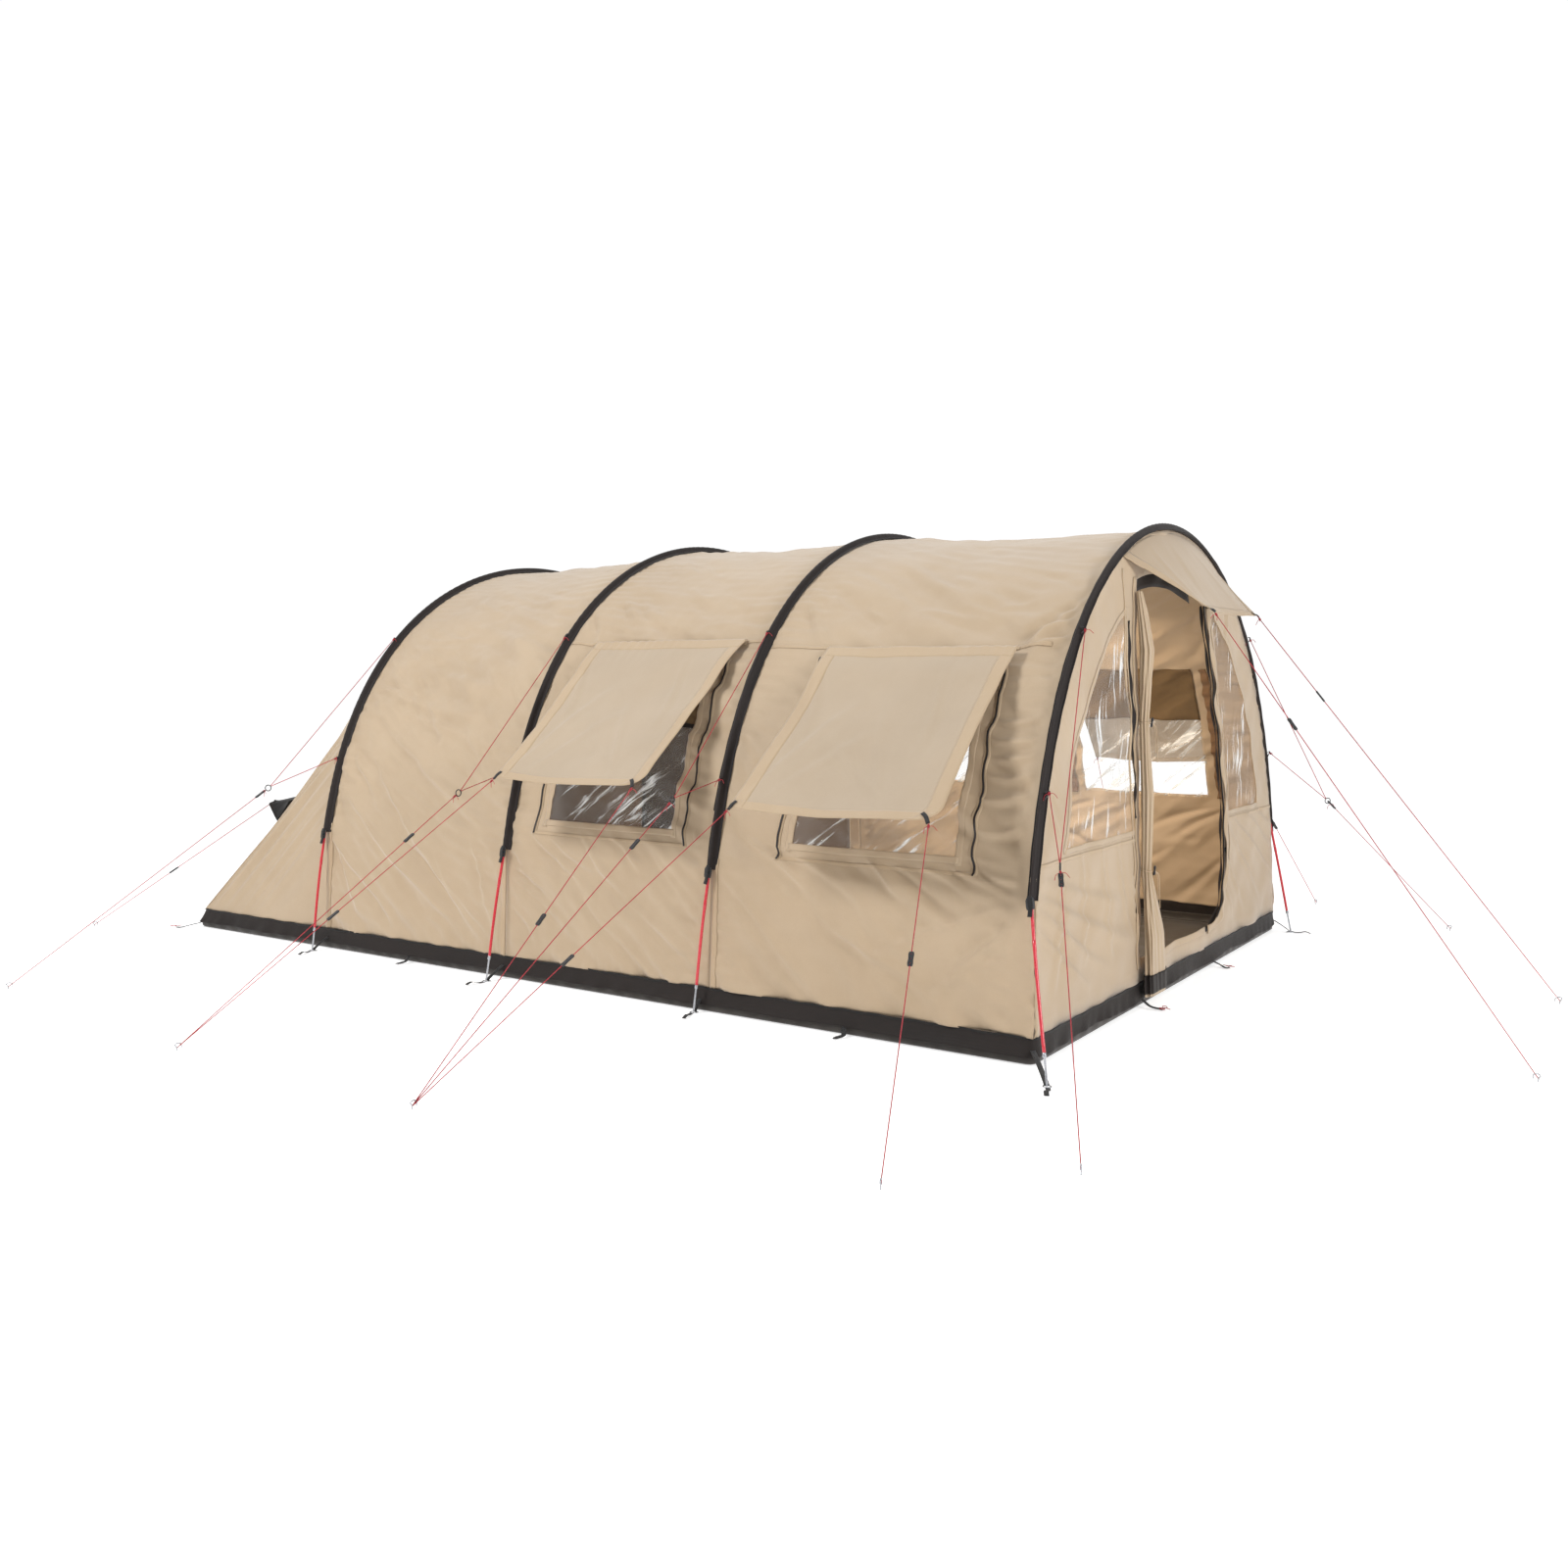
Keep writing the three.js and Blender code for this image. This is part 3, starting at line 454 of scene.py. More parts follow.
# Painted light: a brighter, warmer copy of the canvas that stands in for light shining through the cloth onto its
# inside; no piece uses it
CANVAS_PAINTED_GLOW = woven("canvas_painted_glow", linear(210, 178, 138), linear(198, 165, 125))
BROWN = woven("brown_cloth", linear(36, 29, 26), linear(25, 20, 18), roughness=0.62, thread=500.0, weave=0.3, sheen=0.05, shine=0.25)
SLEEVE = woven("sleeve_cloth", linear(43, 36, 34), linear(30, 25, 24), roughness=0.6, thread=420.0, weave=0.35, sheen=0.05, shine=0.25)
BLACK = woven("black_cloth", linear(30, 28, 27), linear(20, 18, 18), roughness=0.6, thread=400.0, weave=0.25, sheen=0.04, shine=0.25)
BLIND = woven("blind_cloth", linear(128, 98, 70), linear(104, 79, 56))
# Painted shade: a dark brown for the cabin's front wall, far darker than the rest of the cabin's cloth, standing in for
# the dim inside of the tent
CABIN_FRONT_PAINTED_SHADE = woven("cabin_front_painted_shade", linear(88, 66, 42), linear(74, 55, 36))
FLOOR_CLOTH = woven("floor_cloth", linear(50, 44, 38), linear(36, 31, 28), roughness=0.5, thread=400.0)
WEBBING = woven("webbing", linear(34, 33, 34), linear(20, 20, 21), roughness=0.7, thread=1400.0, weave=0.8)
CORD_RED = woven("red_cord", linear(206, 42, 58), linear(150, 22, 36), roughness=0.6, thread=2600.0, weave=0.8, blotch=60)
CORD_BEIGE = woven("beige_cord", linear(214, 190, 158), linear(190, 165, 132), thread=2600.0, weave=0.8, blotch=60)
POLE_RED = moulded("pole_lacquer", linear(206, 44, 60), linear(186, 30, 46), roughness=0.28, coat=0.4)
STEEL = moulded("pin_steel", linear(190, 192, 196), linear(150, 152, 158), roughness=0.3, metallic=1.0)
PLASTIC = moulded("black_plastic", linear(38, 38, 40), linear(24, 24, 26), roughness=0.42)
ZIP = moulded("zip_coil", linear(40, 34, 31), linear(22, 18, 17), roughness=0.5, grain=900.0, bumps=0.5)
# Both clear films carry painted highlight streaks
SIDE_FILM = clear_film_with_painted_glints("side_film", 38, "X")
FRONT_FILM = clear_film_with_painted_glints("front_film", 84, "Y")
MESH = see_through("insect_mesh", linear(128, 104, 74), linear(110, 90, 64), 0.82, 0.75, 0.3, 30.0, 2500.0)
CABIN_MESH = see_through("cabin_mesh", linear(62, 52, 44), linear(46, 38, 32), 0.88, 0.8, 0.3, 30.0, 2500.0)
CABIN_CLOTH = woven("cabin_cloth", linear(206, 188, 160), linear(194, 174, 146))

# ---------------------------------------------------------------- camera, floor and light

CAMERA_PLACE = (-6.216, -4.043, 1.422)
CAMERA_TURN = (85.326, 0.0, -56.231)
LENS = 32.29


def make_stage():
    camera = bpy.data.objects.new("camera", bpy.data.cameras.new("camera"))
    bpy.context.collection.objects.link(camera)
    camera.location = CAMERA_PLACE
    camera.rotation_euler = [math.radians(a) for a in CAMERA_TURN]
    camera.data.lens = LENS
    camera.data.sensor_width = 36.0
    camera.data.clip_end = 200.0
    bpy.context.scene.camera = camera

    floor = new_mesh("floor", [(-60, -60, 0), (60, -60, 0), (60, 60, 0), (-60, 60, 0)], [(0, 1, 2, 3)],
                     moulded("studio_floor", linear(222, 222, 222), linear(219, 219, 219), 0.9, grain=3.0))
    floor_shader = floor.data.materials[0].node_tree.nodes["Principled BSDF"]
    floor_shader.inputs["Emission Color"].default_value = (1, 1, 1, 1)
    floor_shader.inputs["Emission Strength"].default_value = 0.62
    floor.location.z = -0.002

    scene = bpy.context.scene
    scene.view_settings.view_transform = "Standard"
    world = bpy.data.worlds.new("studio")
    scene.world = world
    world.use_nodes = True
    # A white studio sweep behind the tent, and a dimmer room in front of it
    tree = world.node_tree
    place = tree.nodes.new("ShaderNodeTexCoord")
    toward = tree.nodes.new("ShaderNodeVectorMath")
    toward.operation = "DOT_PRODUCT"
    toward.inputs[1].default_value = (0.831, 0.556, 0.0)
    tree.links.new(place.outputs["Generated"], toward.inputs[0])
    fade = add_node(tree, "ShaderNodeMapRange", From_Min=0.25, From_Max=0.60, To_Min=0.36, To_Max=1.02)
    fade.interpolation_type = "SMOOTHSTEP"
    tree.links.new(toward.outputs["Value"], fade.inputs["Value"])
    # Looked at directly, the room is white all round
    seen = tree.nodes.new("ShaderNodeLightPath")
    white = tree.nodes.new("ShaderNodeMath")
    white.operation = "MAXIMUM"
    tree.links.new(seen.outputs["Is Camera Ray"], white.inputs[0])
    tree.links.new(fade.outputs["Result"], white.inputs[1])
    tree.links.new(white.outputs[0], tree.nodes["Background"].inputs["Strength"])
    tree.nodes["Background"].inputs["Color"].default_value = (1, 1, 1, 1)

    def soft_box(name, place, aim, size, power, colour=(1, 1, 1)):
        lamp = bpy.data.lights.new(name, "AREA")
        lamp.shape = "RECTANGLE"
        lamp.size, lamp.size_y = size
        lamp.energy = power
        lamp.color = colour
        obj = bpy.data.objects.new(name, lamp)
        bpy.context.collection.objects.link(obj)
        obj.location = place
        obj.rotation_euler = (Vector(aim) - Vector(place)).to_track_quat("-Z", "Y").to_euler()
        obj.visible_camera = False
        return obj

    soft_box("key", (-6.9, 2.3, 6.3), (-0.5, 0.2, 0.9), (1.8, 1.6), 450)
    soft_box("front_fill", (-2.5, -8.5, 4.0), (0, -1, 1), (3, 2), 330)
    soft_box("top", (0.5, 0.5, 8), (0, 0, 1), (5, 5), 110)
    soft_box("inside", (0.2, -0.7, 1.7), (0.2, -0.7, 0), (1.6, 1.6), 46, (1.0, 0.84, 0.66))
    soft_box("inside_low", (0.0, -0.6, 0.4), (1.4, -1.0, 1.0), (1.0, 0.6), 14, (1.0, 0.84, 0.66))


make_stage()

# ---------------------------------------------------------------- guy lines

LINE_RADIUS = 0.0018
PEG_HOOK = 0.012
TIE_HEIGHTS = (1.570, 0.960)

# Rings and pegs of the hoops' guy lines, and the other pegs, as the CAD model places them
HOOP_RINGS = {1: (1.836, 1.970, 0.836), 2: (1.842, 0.616, 0.878), 3: (1.833, -0.583, 0.908), 4: (1.786, -2.201, 0.762)}
HOOP_PEGS = {1: (3.015, 2.250), 2: (3.198, 0.701), 3: (3.190, -0.572), 4: (2.548, -2.596)}
RIGHT_RING_4 = (1.651, -2.286, 0.723)
RIGHT_PEG_4 = (2.092, -2.854)
COVER_PEGS = {"left": (2.959, -2.182), "right": (2.584, -2.037)}
REAR_PEG = (1.948, 3.398)
AWNING_PEGS = {"left": (-0.824, -3.567), "right": (0.510, -3.517)}
COVER_LENGTH = {2: 0.910, 3: 0.922}
COVER_SLOPE = {2: math.radians(41), 3: math.radians(42)}
COVER_TIPS = {2: (0.385, -0.427), 3: (-0.893, -1.788)}


def unit(vector):
    vector = np.asarray(vector, float)
    return vector / np.linalg.norm(vector)


def tie_point(number, side, height):
    """Where a guy line is tied to a sleeve; the door hoop's lines are tied in front of it."""
    hoop = HOOPS[number - 1]
    forward = 0.027 if hoop.lean else 0.0
    points, _ = hoop.arch(0.0 if forward else -0.016, hoop.end, 200)
    x, z = points[np.argmax(points[:, 1] > height)]
    return np.array([-x * side, hoop.plane_y(z) - forward, z])


def cover_corner(window, corner, side):
    hinge = JOINTS[f"cover_{window}_left_swing"]["pos_m"]
    x = abs(hinge[0]) + COVER_LENGTH[window] * math.cos(COVER_SLOPE[window]) + 0.005
    z = hinge[2] - COVER_LENGTH[window] * math.sin(COVER_SLOPE[window]) - 0.003
    rear, front = COVER_TIPS[window]
    return np.array([x * side, rear - 0.006 if corner == "rear" else front + 0.030, z])


def straight(a, b, count=14):
    return np.linspace(a, b, count)


def braid(name, path):
    line = tube(name, path, LINE_RADIUS, CORD_RED, sides=8)
    return line


def plate_with_holes(name, outline, holes, depth, bevel, material):
    """A flat moulded plate with rounded edges: an outline and holes, each a list of [x, y]."""
    curve = bpy.data.curves.new(name, "CURVE")
    curve.dimensions = "2D"
    curve.fill_mode = "BOTH"
    for loop in [outline] + holes:
        spline = curve.splines.new("POLY")
        spline.points.add(len(loop) - 1)
        for point, (x, y) in zip(spline.points, loop):
            point.co = (x, y, 0, 1)
        spline.use_cyclic_u = True
    curve.extrude = depth / 2 - bevel
    curve.bevel_depth = bevel
    curve.bevel_resolution = 1
    obj = bpy.data.objects.new(name, curve)
    bpy.context.collection.objects.link(obj)
    bpy.ops.object.select_all(action="DESELECT")
    obj.select_set(True)
    bpy.context.view_layer.objects.active = obj
    bpy.ops.object.convert(target="MESH")
    obj.data.materials.clear()
    obj.data.materials.append(material)
    return obj


def oval(cx, cy, rx, ry, count=14):
    turn = np.linspace(0, 2 * np.pi, count, endpoint=False)
    return [(cx + rx * math.cos(t), cy + ry * math.sin(t)) for t in turn]


def place_on(obj, origin, x_axis, y_axis):
    """Bakes an object's vertices into place: its own X and Y along the given directions."""
    x_axis = unit(x_axis)
    z_axis = unit(np.cross(x_axis, y_axis))
    y_axis = np.cross(z_axis, x_axis)
    matrix = Matrix.Identity(4)
    for row in range(3):
        matrix[row][0], matrix[row][1], matrix[row][2], matrix[row][3] = x_axis[row], y_axis[row], z_axis[row], origin[row]
    obj.data.transform(matrix)
    return obj


def slider(name, at, direction):
    """A line tensioner: a flat moulded bar, waisted, with three holes for the line."""
    half, wide = 0.028, 0.0085
    turn = np.linspace(0, 2 * np.pi, 40, endpoint=False)
    outline = []
    for t in turn:
        x, y = math.cos(t), math.sin(t)
        stretch = (abs(x) ** 5 + abs(y) ** 5) ** -0.2
        waist = 1 - 0.22 * math.cos(x * stretch * math.pi / 2) ** 2
        outline.append((half * x * stretch, wide * y * stretch * waist))
    holes = [oval(c, 0, 0.0042, 0.0030) for c in (-0.0195, 0.0, 0.0195)]
    bar = plate_with_holes(name, outline, holes, 0.0072, 0.0016, PLASTIC)
    sideways = unit(np.cross([0, 0, 1], direction))
    place_on(bar, at, direction, sideways)
    bar.data.shade_smooth()
    return bar


def line_ring(name, at, direction, hang):
    """The ring that gathers two guy legs."""
    turn = np.linspace(0, 2 * np.pi, 29)
    side = unit(np.cross(direction, hang))
    up = np.cross(side, direction)
    path = [np.asarray(at) + (unit(direction) * math.cos(t) + up * math.sin(t)) * 0.0145 for t in turn]
    ring = tube(name, path, 0.0024, PLASTIC, sides=8)
    return ring


def whipping(name, at, direction, turns=4, radius=0.0036, pitch=0.0034, tails=2):
    """A knot: a few tight turns of line round itself, with short cut tails."""
    direction = unit(direction)
    side = unit(np.cross(direction, [0.2, 0.3, 1.0]))
    up = np.cross(side, direction)
    turn = np.linspace(0, 2 * np.pi * turns, 12 * turns)
    length = pitch * turns
    path = [at + direction * (t / turn[-1] - 0.5) * length + (side * math.cos(t) + up * math.sin(t)) * radius for t in turn]
    parts = [tube(name, path, 0.0014, CORD_RED, sides=6)]
    for k in range(tails):
        lean = side * (1 if k else -1)
        points = [at + lean * 0.003, at + lean * 0.016 - up * 0.004, at + lean * 0.026 - up * 0.02 + direction * 0.01]
        parts.append(tube(name + f"_tail_{k}", smooth_path(points, 8), 0.0012, CORD_RED, sides=6))
    knot = join_pieces(name, parts)
    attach(knot, TENT)
    return knot


def peg(name, at, pull):
    """A bent steel peg: a shank leaning away from the tent and a hook that holds the line."""
    pull = unit([pull[0], pull[1], 0])
    at = np.asarray(at, float)
    foot = np.array([at[0], at[1], 0.0015]) - pull * 0.004
    points = [
        foot,
        foot + pull * 0.004 + [0, 0, 0.016],
        foot + pull * 0.009 + [0, 0, 0.024],
        foot + pull * 0.001 + [0, 0, 0.0295],
        foot - pull * 0.012 + [0, 0, 0.027],
        foot - pull * 0.017 + [0, 0, 0.018],
        foot - pull * 0.016 + [0, 0, 0.009],
    ]
    hook = tube(name, smooth_path(points, 22), 0.0024, STEEL, sides=8)
    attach(hook, TENT)
    return hook


PEG_PIECES = {}


def peg_at(label, place, toward):
    name = f"peg_{label}"
    if name not in PEG_PIECES:
        PEG_PIECES[name] = peg(name, place, np.asarray(place)[:2] - np.asarray(toward)[:2])
        return [PEG_PIECES[name]]
    return []


def finish_line(pieces, set_name):
    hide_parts(set_name)


def hoop_guys(number, label, side):
    ring_at = np.array(HOOP_RINGS[number]) * [side, 1, 1]
    peg_spot = np.array([HOOP_PEGS[number][0] * side, HOOP_PEGS[number][1], PEG_HOOK])
    if number == 4 and side > 0:
        ring_at = np.array(RIGHT_RING_4)
        peg_spot = np.array([*RIGHT_PEG_4, PEG_HOOK])
    set_name = f"guy_hoop_{number}_{label}"
    upper, lower = (tie_point(number, side, height) for height in TIE_HEIGHTS)
    pull = unit(peg_spot - ring_at)
    inner = ring_at - pull * 0.004
    arrive, leave = unit(inner - upper), unit(lower - inner)
    bend = [inner - arrive * 0.02, inner - arrive * 0.008 + pull * 0.001, inner + leave * 0.008 + pull * 0.001, inner + leave * 0.02]
    bridle_path = np.concatenate([straight(upper, bend[0], 9)[:-1], smooth_path(bend, 9), straight(bend[-1], lower, 8)[1:]])
    bridle = braid(f"bridle_{number}_{label}", bridle_path)
    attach(bridle, TENT)
    ring = line_ring(f"ring_{number}_{label}", ring_at + pull * 0.008, pull, [0, 0, 1])
    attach(ring, TENT)
    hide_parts(set_name)
    start = ring_at + pull * 0.0225
    path = straight(start, peg_spot)
    main = braid(f"line_{number}_{label}", path)
    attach(main, TENT)
    body = f"tensioner_hoop_{number}_{label}"
    low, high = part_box(body)
    bar = slider(f"slider_{number}_{label}", (np.array(low) + high) / 2, pull)
    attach(bar, body)
    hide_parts(body)
    finish_line(peg_at(f"{number}_{label}", peg_spot, ring_at) + [bar], set_name)
    for at, toward in ((upper, ring_at), (lower, ring_at), (start + pull * 0.004, peg_spot)):
        whipping(f"knot_{number}_{label}_{int(at[2] * 1000)}", at + unit(toward - at) * 0.008, toward - at)


COVER_LINES = [(2, "rear", 2), (2, "front", 3), (3, "rear", 3), (3, "front", None)]
RIGHT_COVER_SLIDES = (0.545, 0.47, 0.55, 0.433)


def cover_guys(label, side):
    for (window, corner, shared), slide in zip(COVER_LINES, RIGHT_COVER_SLIDES):
        tip = cover_corner(window, corner, side)
        spot = HOOP_PEGS[shared] if shared else COVER_PEGS[label]
        end = np.array([spot[0] * side, spot[1], PEG_HOOK])
        path = straight(tip, end, 30)
        cover_body = f"window_cover_{window}_{label}"
        set_name = f"guy_hoop_{shared}_{label}" if shared else f"guy_cover_{label}"
        line = braid(f"cover_line_{window}_{corner}_{label}", path)
        pull = unit(end - tip)
        if side < 0:
            node = f"tensioner_cover_{window}_{corner}"
            low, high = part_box(node)
            bar = slider(f"cover_slider_{window}_{corner}", (np.array(low) + high) / 2, pull)
            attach(bar, node)
            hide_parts(node)
        else:
            bar = slider(f"cover_slider_{window}_{corner}_right", tip + (end - tip) * slide, pull)
            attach(bar, TENT)
        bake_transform(line)
        pieces = peg_at(f"{shared or 'cover'}_{label}", end, tip)
        finish_line(pieces + [bar], set_name)
        knot = whipping(f"cover_knot_{window}_{corner}_{label}", tip + pull * 0.02, pull)
        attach(knot, cover_body)


def cowl_tip(side):
    """The outermost point of a vent cowl, which its guy line is tied to."""
    path_end = np.array([REAR_PEG[0] * side, REAR_PEG[1], PEG_HOOK])
    low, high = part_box("guy_rear_left" if side < 0 else "guy_rear_right")
    return np.array([(high[0] if side < 0 else low[0]) - 0.0012 * side * -1, low[1] + 0.001, high[2] - 0.0012]), path_end


def other_guys(label, side):
    tip, end = cowl_tip(side)
    path = straight(tip, end)
    line = braid(f"rear_line_{label}", path)
    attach(line, TENT)
    bar = slider(f"rear_slider_{label}", tip + (end - tip) * 0.55, unit(end - tip))
    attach(bar, TENT)
    finish_line(peg_at(f"rear_{label}", end, tip) + [bar], f"guy_rear_{label}")
    corner = np.array([side * 0.325, -2.255, 1.663])
    end = np.array([*AWNING_PEGS[label], PEG_HOOK])
    path = straight(corner, end)
    line = braid(f"awning_line_{label}", path)
    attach(line, TENT)
    node = f"tensioner_awning_{label}"
    low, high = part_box(node)
    bar = slider(f"awning_slider_{label}", (np.array(low) + high) / 2, unit(end - corner))
    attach(bar, node)
    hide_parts(node)
    finish_line(peg_at(f"awning_{label}", end, corner) + [bar], f"guy_awning_{label}")
    whipping(f"awning_knot_{label}", corner + unit(end - corner) * 0.02, end - corner)


for label, side in SIDES.items():
    for number in (1, 2, 3, 4):
        hoop_guys(number, label, side)
    cover_guys(label, side)
    other_guys(label, side)

# ---------------------------------------------------------------- the fly between the hoops

WALL_BOTTOM = SKIRT_TOP
SLEEVE_END = 0.600
SAG = 0.025
EAVE = 1.500       # below this a column of the fly's grid is a height, above it a share of the arch

# Creases in each bay's left wall: from (y, height) to (y, height), width and depth in millimetres
CREASES = {
    1: [(1.76, 0.80, 0.94, 0.20, 10, 6), (1.62, 0.97, 0.70, 0.16, 11, 6), (1.35, 0.65, 0.71, 0.16, 9, 5),
        (1.85, 0.60, 1.34, 0.17, 10, 6), (1.81, 0.57, 1.61, 0.20, 8, 5), (1.57, 1.42, 0.79, 1.31, 20, 5),
        (1.60, 1.28, 0.81, 1.18, 18, 5), (1.49, 1.20, 0.74, 1.06, 16, 5), (1.66, 1.19, 1.19, 0.94, 13, 5),
        (1.30, 0.98, 0.66, 0.62, 14, 4), (1.15, 1.85, 0.70, 1.60, 20, 4), (1.78, 1.05, 1.50, 0.72, 10, 4),
        (0.84, 0.62, 0.62, 0.20, 9, 4), (1.05, 0.50, 0.66, 0.16, 8, 4)],
    2: [(0.59, 0.55, 0.29, 0.38, 9, 5), (0.44, 0.70, 0.04, 0.40, 10, 6), (0.33, 0.68, -0.04, 0.49, 9, 5),
        (0.18, 0.70, -0.16, 0.42, 9, 5), (-0.01, 0.70, -0.23, 0.55, 8, 5), (0.41, 1.77, 0.06, 1.56, 14, 6),
        (0.34, 1.79, -0.01, 1.58, 13, 5), (0.17, 1.84, -0.28, 1.69, 14, 5), (0.52, 1.70, 0.39, 1.54, 10, 5),
        (-0.47, 0.74, -0.53, 0.70, 8, 4), (0.56, 0.50, 0.10, 0.18, 10, 5), (-0.10, 0.45, -0.52, 0.17, 10, 5),
        (-0.25, 0.66, -0.54, 0.36, 9, 4), (0.55, 0.36, 0.38, 0.17, 9, 4)],
    3: [(-0.70, 0.75, -1.16, 0.51, 9, 6), (-0.81, 0.75, -1.32, 0.53, 9, 6), (-1.30, 0.69, -1.52, 0.55, 8, 6),
        (-1.39, 0.69, -1.68, 0.56, 8, 6), (-1.54, 0.70, -1.78, 0.57, 8, 6), (-1.66, 0.71, -1.93, 0.58, 8, 6),
        (-1.77, 0.70, -2.01, 0.63, 8, 6), (-1.97, 1.73, -1.78, 1.50, 12, 8), (-1.96, 1.66, -1.79, 1.52, 11, 8),
        (-1.97, 1.57, -1.80, 1.50, 10, 7), (-0.98, 1.71, -1.11, 1.63, 9, 5), (-1.24, 1.69, -1.64, 1.63, 12, 5),
        (-0.63, 1.74, -0.91, 1.53, 11, 6), (-0.70, 1.80, -0.85, 1.71, 9, 4), (-1.74, 1.24, -2.00, 1.25, 9, 6),
        (-1.74, 1.17, -2.00, 1.16, 9, 6), (-1.75, 1.10, -2.01, 1.11, 9, 6), (-1.75, 1.04, -2.01, 1.02, 9, 6),
        (-1.74, 0.95, -2.01, 0.96, 9, 6), (-1.75, 0.83, -2.01, 0.84, 9, 5), (-0.62, 0.58, -1.10, 0.17, 11, 5),
        (-1.05, 0.50, -1.60, 0.20, 11, 5), (-1.98, 0.56, -1.62, 0.17, 11, 6), (-1.90, 0.58, -1.35, 0.30, 10, 4)],
}

# Side windows, as the CAD model has them: y of the rear and front edges, bottom and top
WINDOWS = {2: (0.361, -0.354, 0.740, 1.430), 3: (-0.958, -1.675, 0.722, 1.430)}


def outline_table(hoop):
    points = hoop.skin(0.0, WALL_BOTTOM)
    top = int(np.argmax(points[:, 1])) + 1
    run = np.concatenate([[0], np.cumsum(np.linalg.norm(np.diff(points, axis=0), axis=1))])
    return points, top, run, float(np.interp(EAVE, points[:top, 1], run[:top]))


TABLES = [outline_table(hoop) for hoop in HOOPS]


def skin_at(number, column):
    """A hoop's fabric outline: x, z and the run along it. Column -2 and 2 are the feet of the
    walls, -1 and 1 the eaves and 0 the top."""
    points, top, run, eave = TABLES[number - 1]
    height = WALL_BOTTOM + (2 - np.abs(column)) * (EAVE - WALL_BOTTOM)
    wall = np.interp(height, points[:top, 1], run[:top])
    arch = eave + (run[-1] - 2 * eave) * (np.clip(column, -1, 1) + 1) / 2
    along = np.where(column < -1, wall, np.where(column > 1, run[-1] - wall, arch))
    return np.interp(along, run, points[:, 0]), np.interp(along, run, points[:, 1]), along


def run_of(number, height):
    points, top, run, _ = TABLES[number - 1]
    return np.interp(height, points[:top, 1], run[:top])


def waves(seed, a, b, count=16, longest=0.75, shortest=0.16, steepness=0.0065):
    """Slow random waves over a surface: a and b are places on it, in metres."""
    chance = np.random.default_rng(seed)
    total = 0.0
    for _ in range(count):
        length = shortest * (longest / shortest) ** chance.random()
        turn = chance.random() * math.pi
        phase = chance.random() * 2 * math.pi
        total = total + steepness * length * np.sin(2 * math.pi * (a * math.cos(turn) + b * math.sin(turn)) / length + phase)
    return total / math.sqrt(count) * 2


def puckers(seed, distance, along, spacing=0.05, reach=0.075, depth=0.0022):
    """Short gathers that a seam draws in the cloth beside it."""
    chance = np.random.default_rng(seed)
    a, b, c = chance.random(3) * 6.283
    wander = 0.9 * np.sin(along * 7.1 + a) + 0.7 * np.sin(along * 17.3 + b)
    strength = 0.55 + 0.45 * np.sin(along * 4.3 + c)
    return depth * strength * np.exp(-distance / reach) * np.sin(2 * math.pi * along / spacing + wander)


def crease_relief(creases, a, b):
    """Sharp-backed folds from point to point: a ridge with a shallower valley beside it."""
    total = np.zeros(np.broadcast(a, b).shape)
    for a0, b0, a1, b1, width, depth in creases:
        width, depth = width / 1000, depth / 1000
        length = math.hypot(a1 - a0, b1 - b0)
        ua, ub = (a1 - a0) / length, (b1 - b0) / length
        along = ((a - a0) * ua + (b - b0) * ub) / length
        off = (b - b0) * ua - (a - a0) * ub
        off = off + 0.012 * np.sin(along * 5 + a0 * 9)
        inside = np.clip(along, 0, 1)
        fade = np.sin(math.pi * inside) ** 0.7
        wide = width * (0.7 + 0.9 * inside)
        total += depth * fade * (np.exp(-(off / wide) ** 2) - 0.7 * np.exp(-((off - 1.9 * wide) / (1.4 * wide)) ** 2))
    return total


def drag_lines(bay, y, q):
    """Many faint, crisp drag lines that run down and forward from the rear hoop, in patches."""
    chance = np.random.default_rng(100 + bay)
    rear, front = HOOPS[bay - 1].y, HOOPS[bay].y
    lines = []
    for _ in range(72):
        y0, q0 = chance.uniform(front, rear), chance.uniform(0.1, 2.6)
        turn = math.radians(chance.normal(212 if q0 < 1.5 else 200, 13))
        reach = chance.uniform(0.15, 0.6)
        lines.append((y0, q0, y0 + reach * math.cos(turn), q0 + reach * math.sin(turn), chance.uniform(12, 24), chance.uniform(2.5, 5.5)))
    return crease_relief(lines, y, q)


def long_folds(bay, y, q):
    """Long soft folds that run down and forward across a bay, stronger in some places."""
    chance = np.random.default_rng(140 + bay)
    total = 0.0
    for _ in range(9):
        length = 0.055 * (0.26 / 0.055) ** chance.random()
        turn = math.radians(chance.normal(122, 9))
        across = y * math.cos(turn) + q * math.sin(turn)
        down = -y * math.sin(turn) + q * math.cos(turn)
        phase = chance.random(3) * 6.28
        patchy = np.clip(0.35 + np.sin(down * 2.6 + phase[0]) * np.sin(across * 5.0 + phase[1]), 0, 1)
        bent = across + 0.03 * np.sin(down * 2.2 + phase[2])
        total = total + 0.030 * length * patchy * np.sin(2 * math.pi * bent / length + phase[1])
    return total


def fly_base(bay, column, t):
    rear, front = HOOPS[bay - 1], HOOPS[bay]
    xr, zr, sr = skin_at(bay, column)
    xf, zf, sf = skin_at(bay + 1, column)
    x, z, s = xr + (xf - xr) * t, zr + (zf - zr) * t, sr + (sf - sr) * t
    edge = front_y(z) if front.lean else front.y
    y = rear.y + (edge - rear.y) * t
    rise = np.maximum(0, (z - SLEEVE_END) / (HOOPS[1].height - SLEEVE_END))
    z = z - SAG * np.sin(math.pi * t) * rise
    return np.stack(np.broadcast_arrays(x, y, z), -1), s


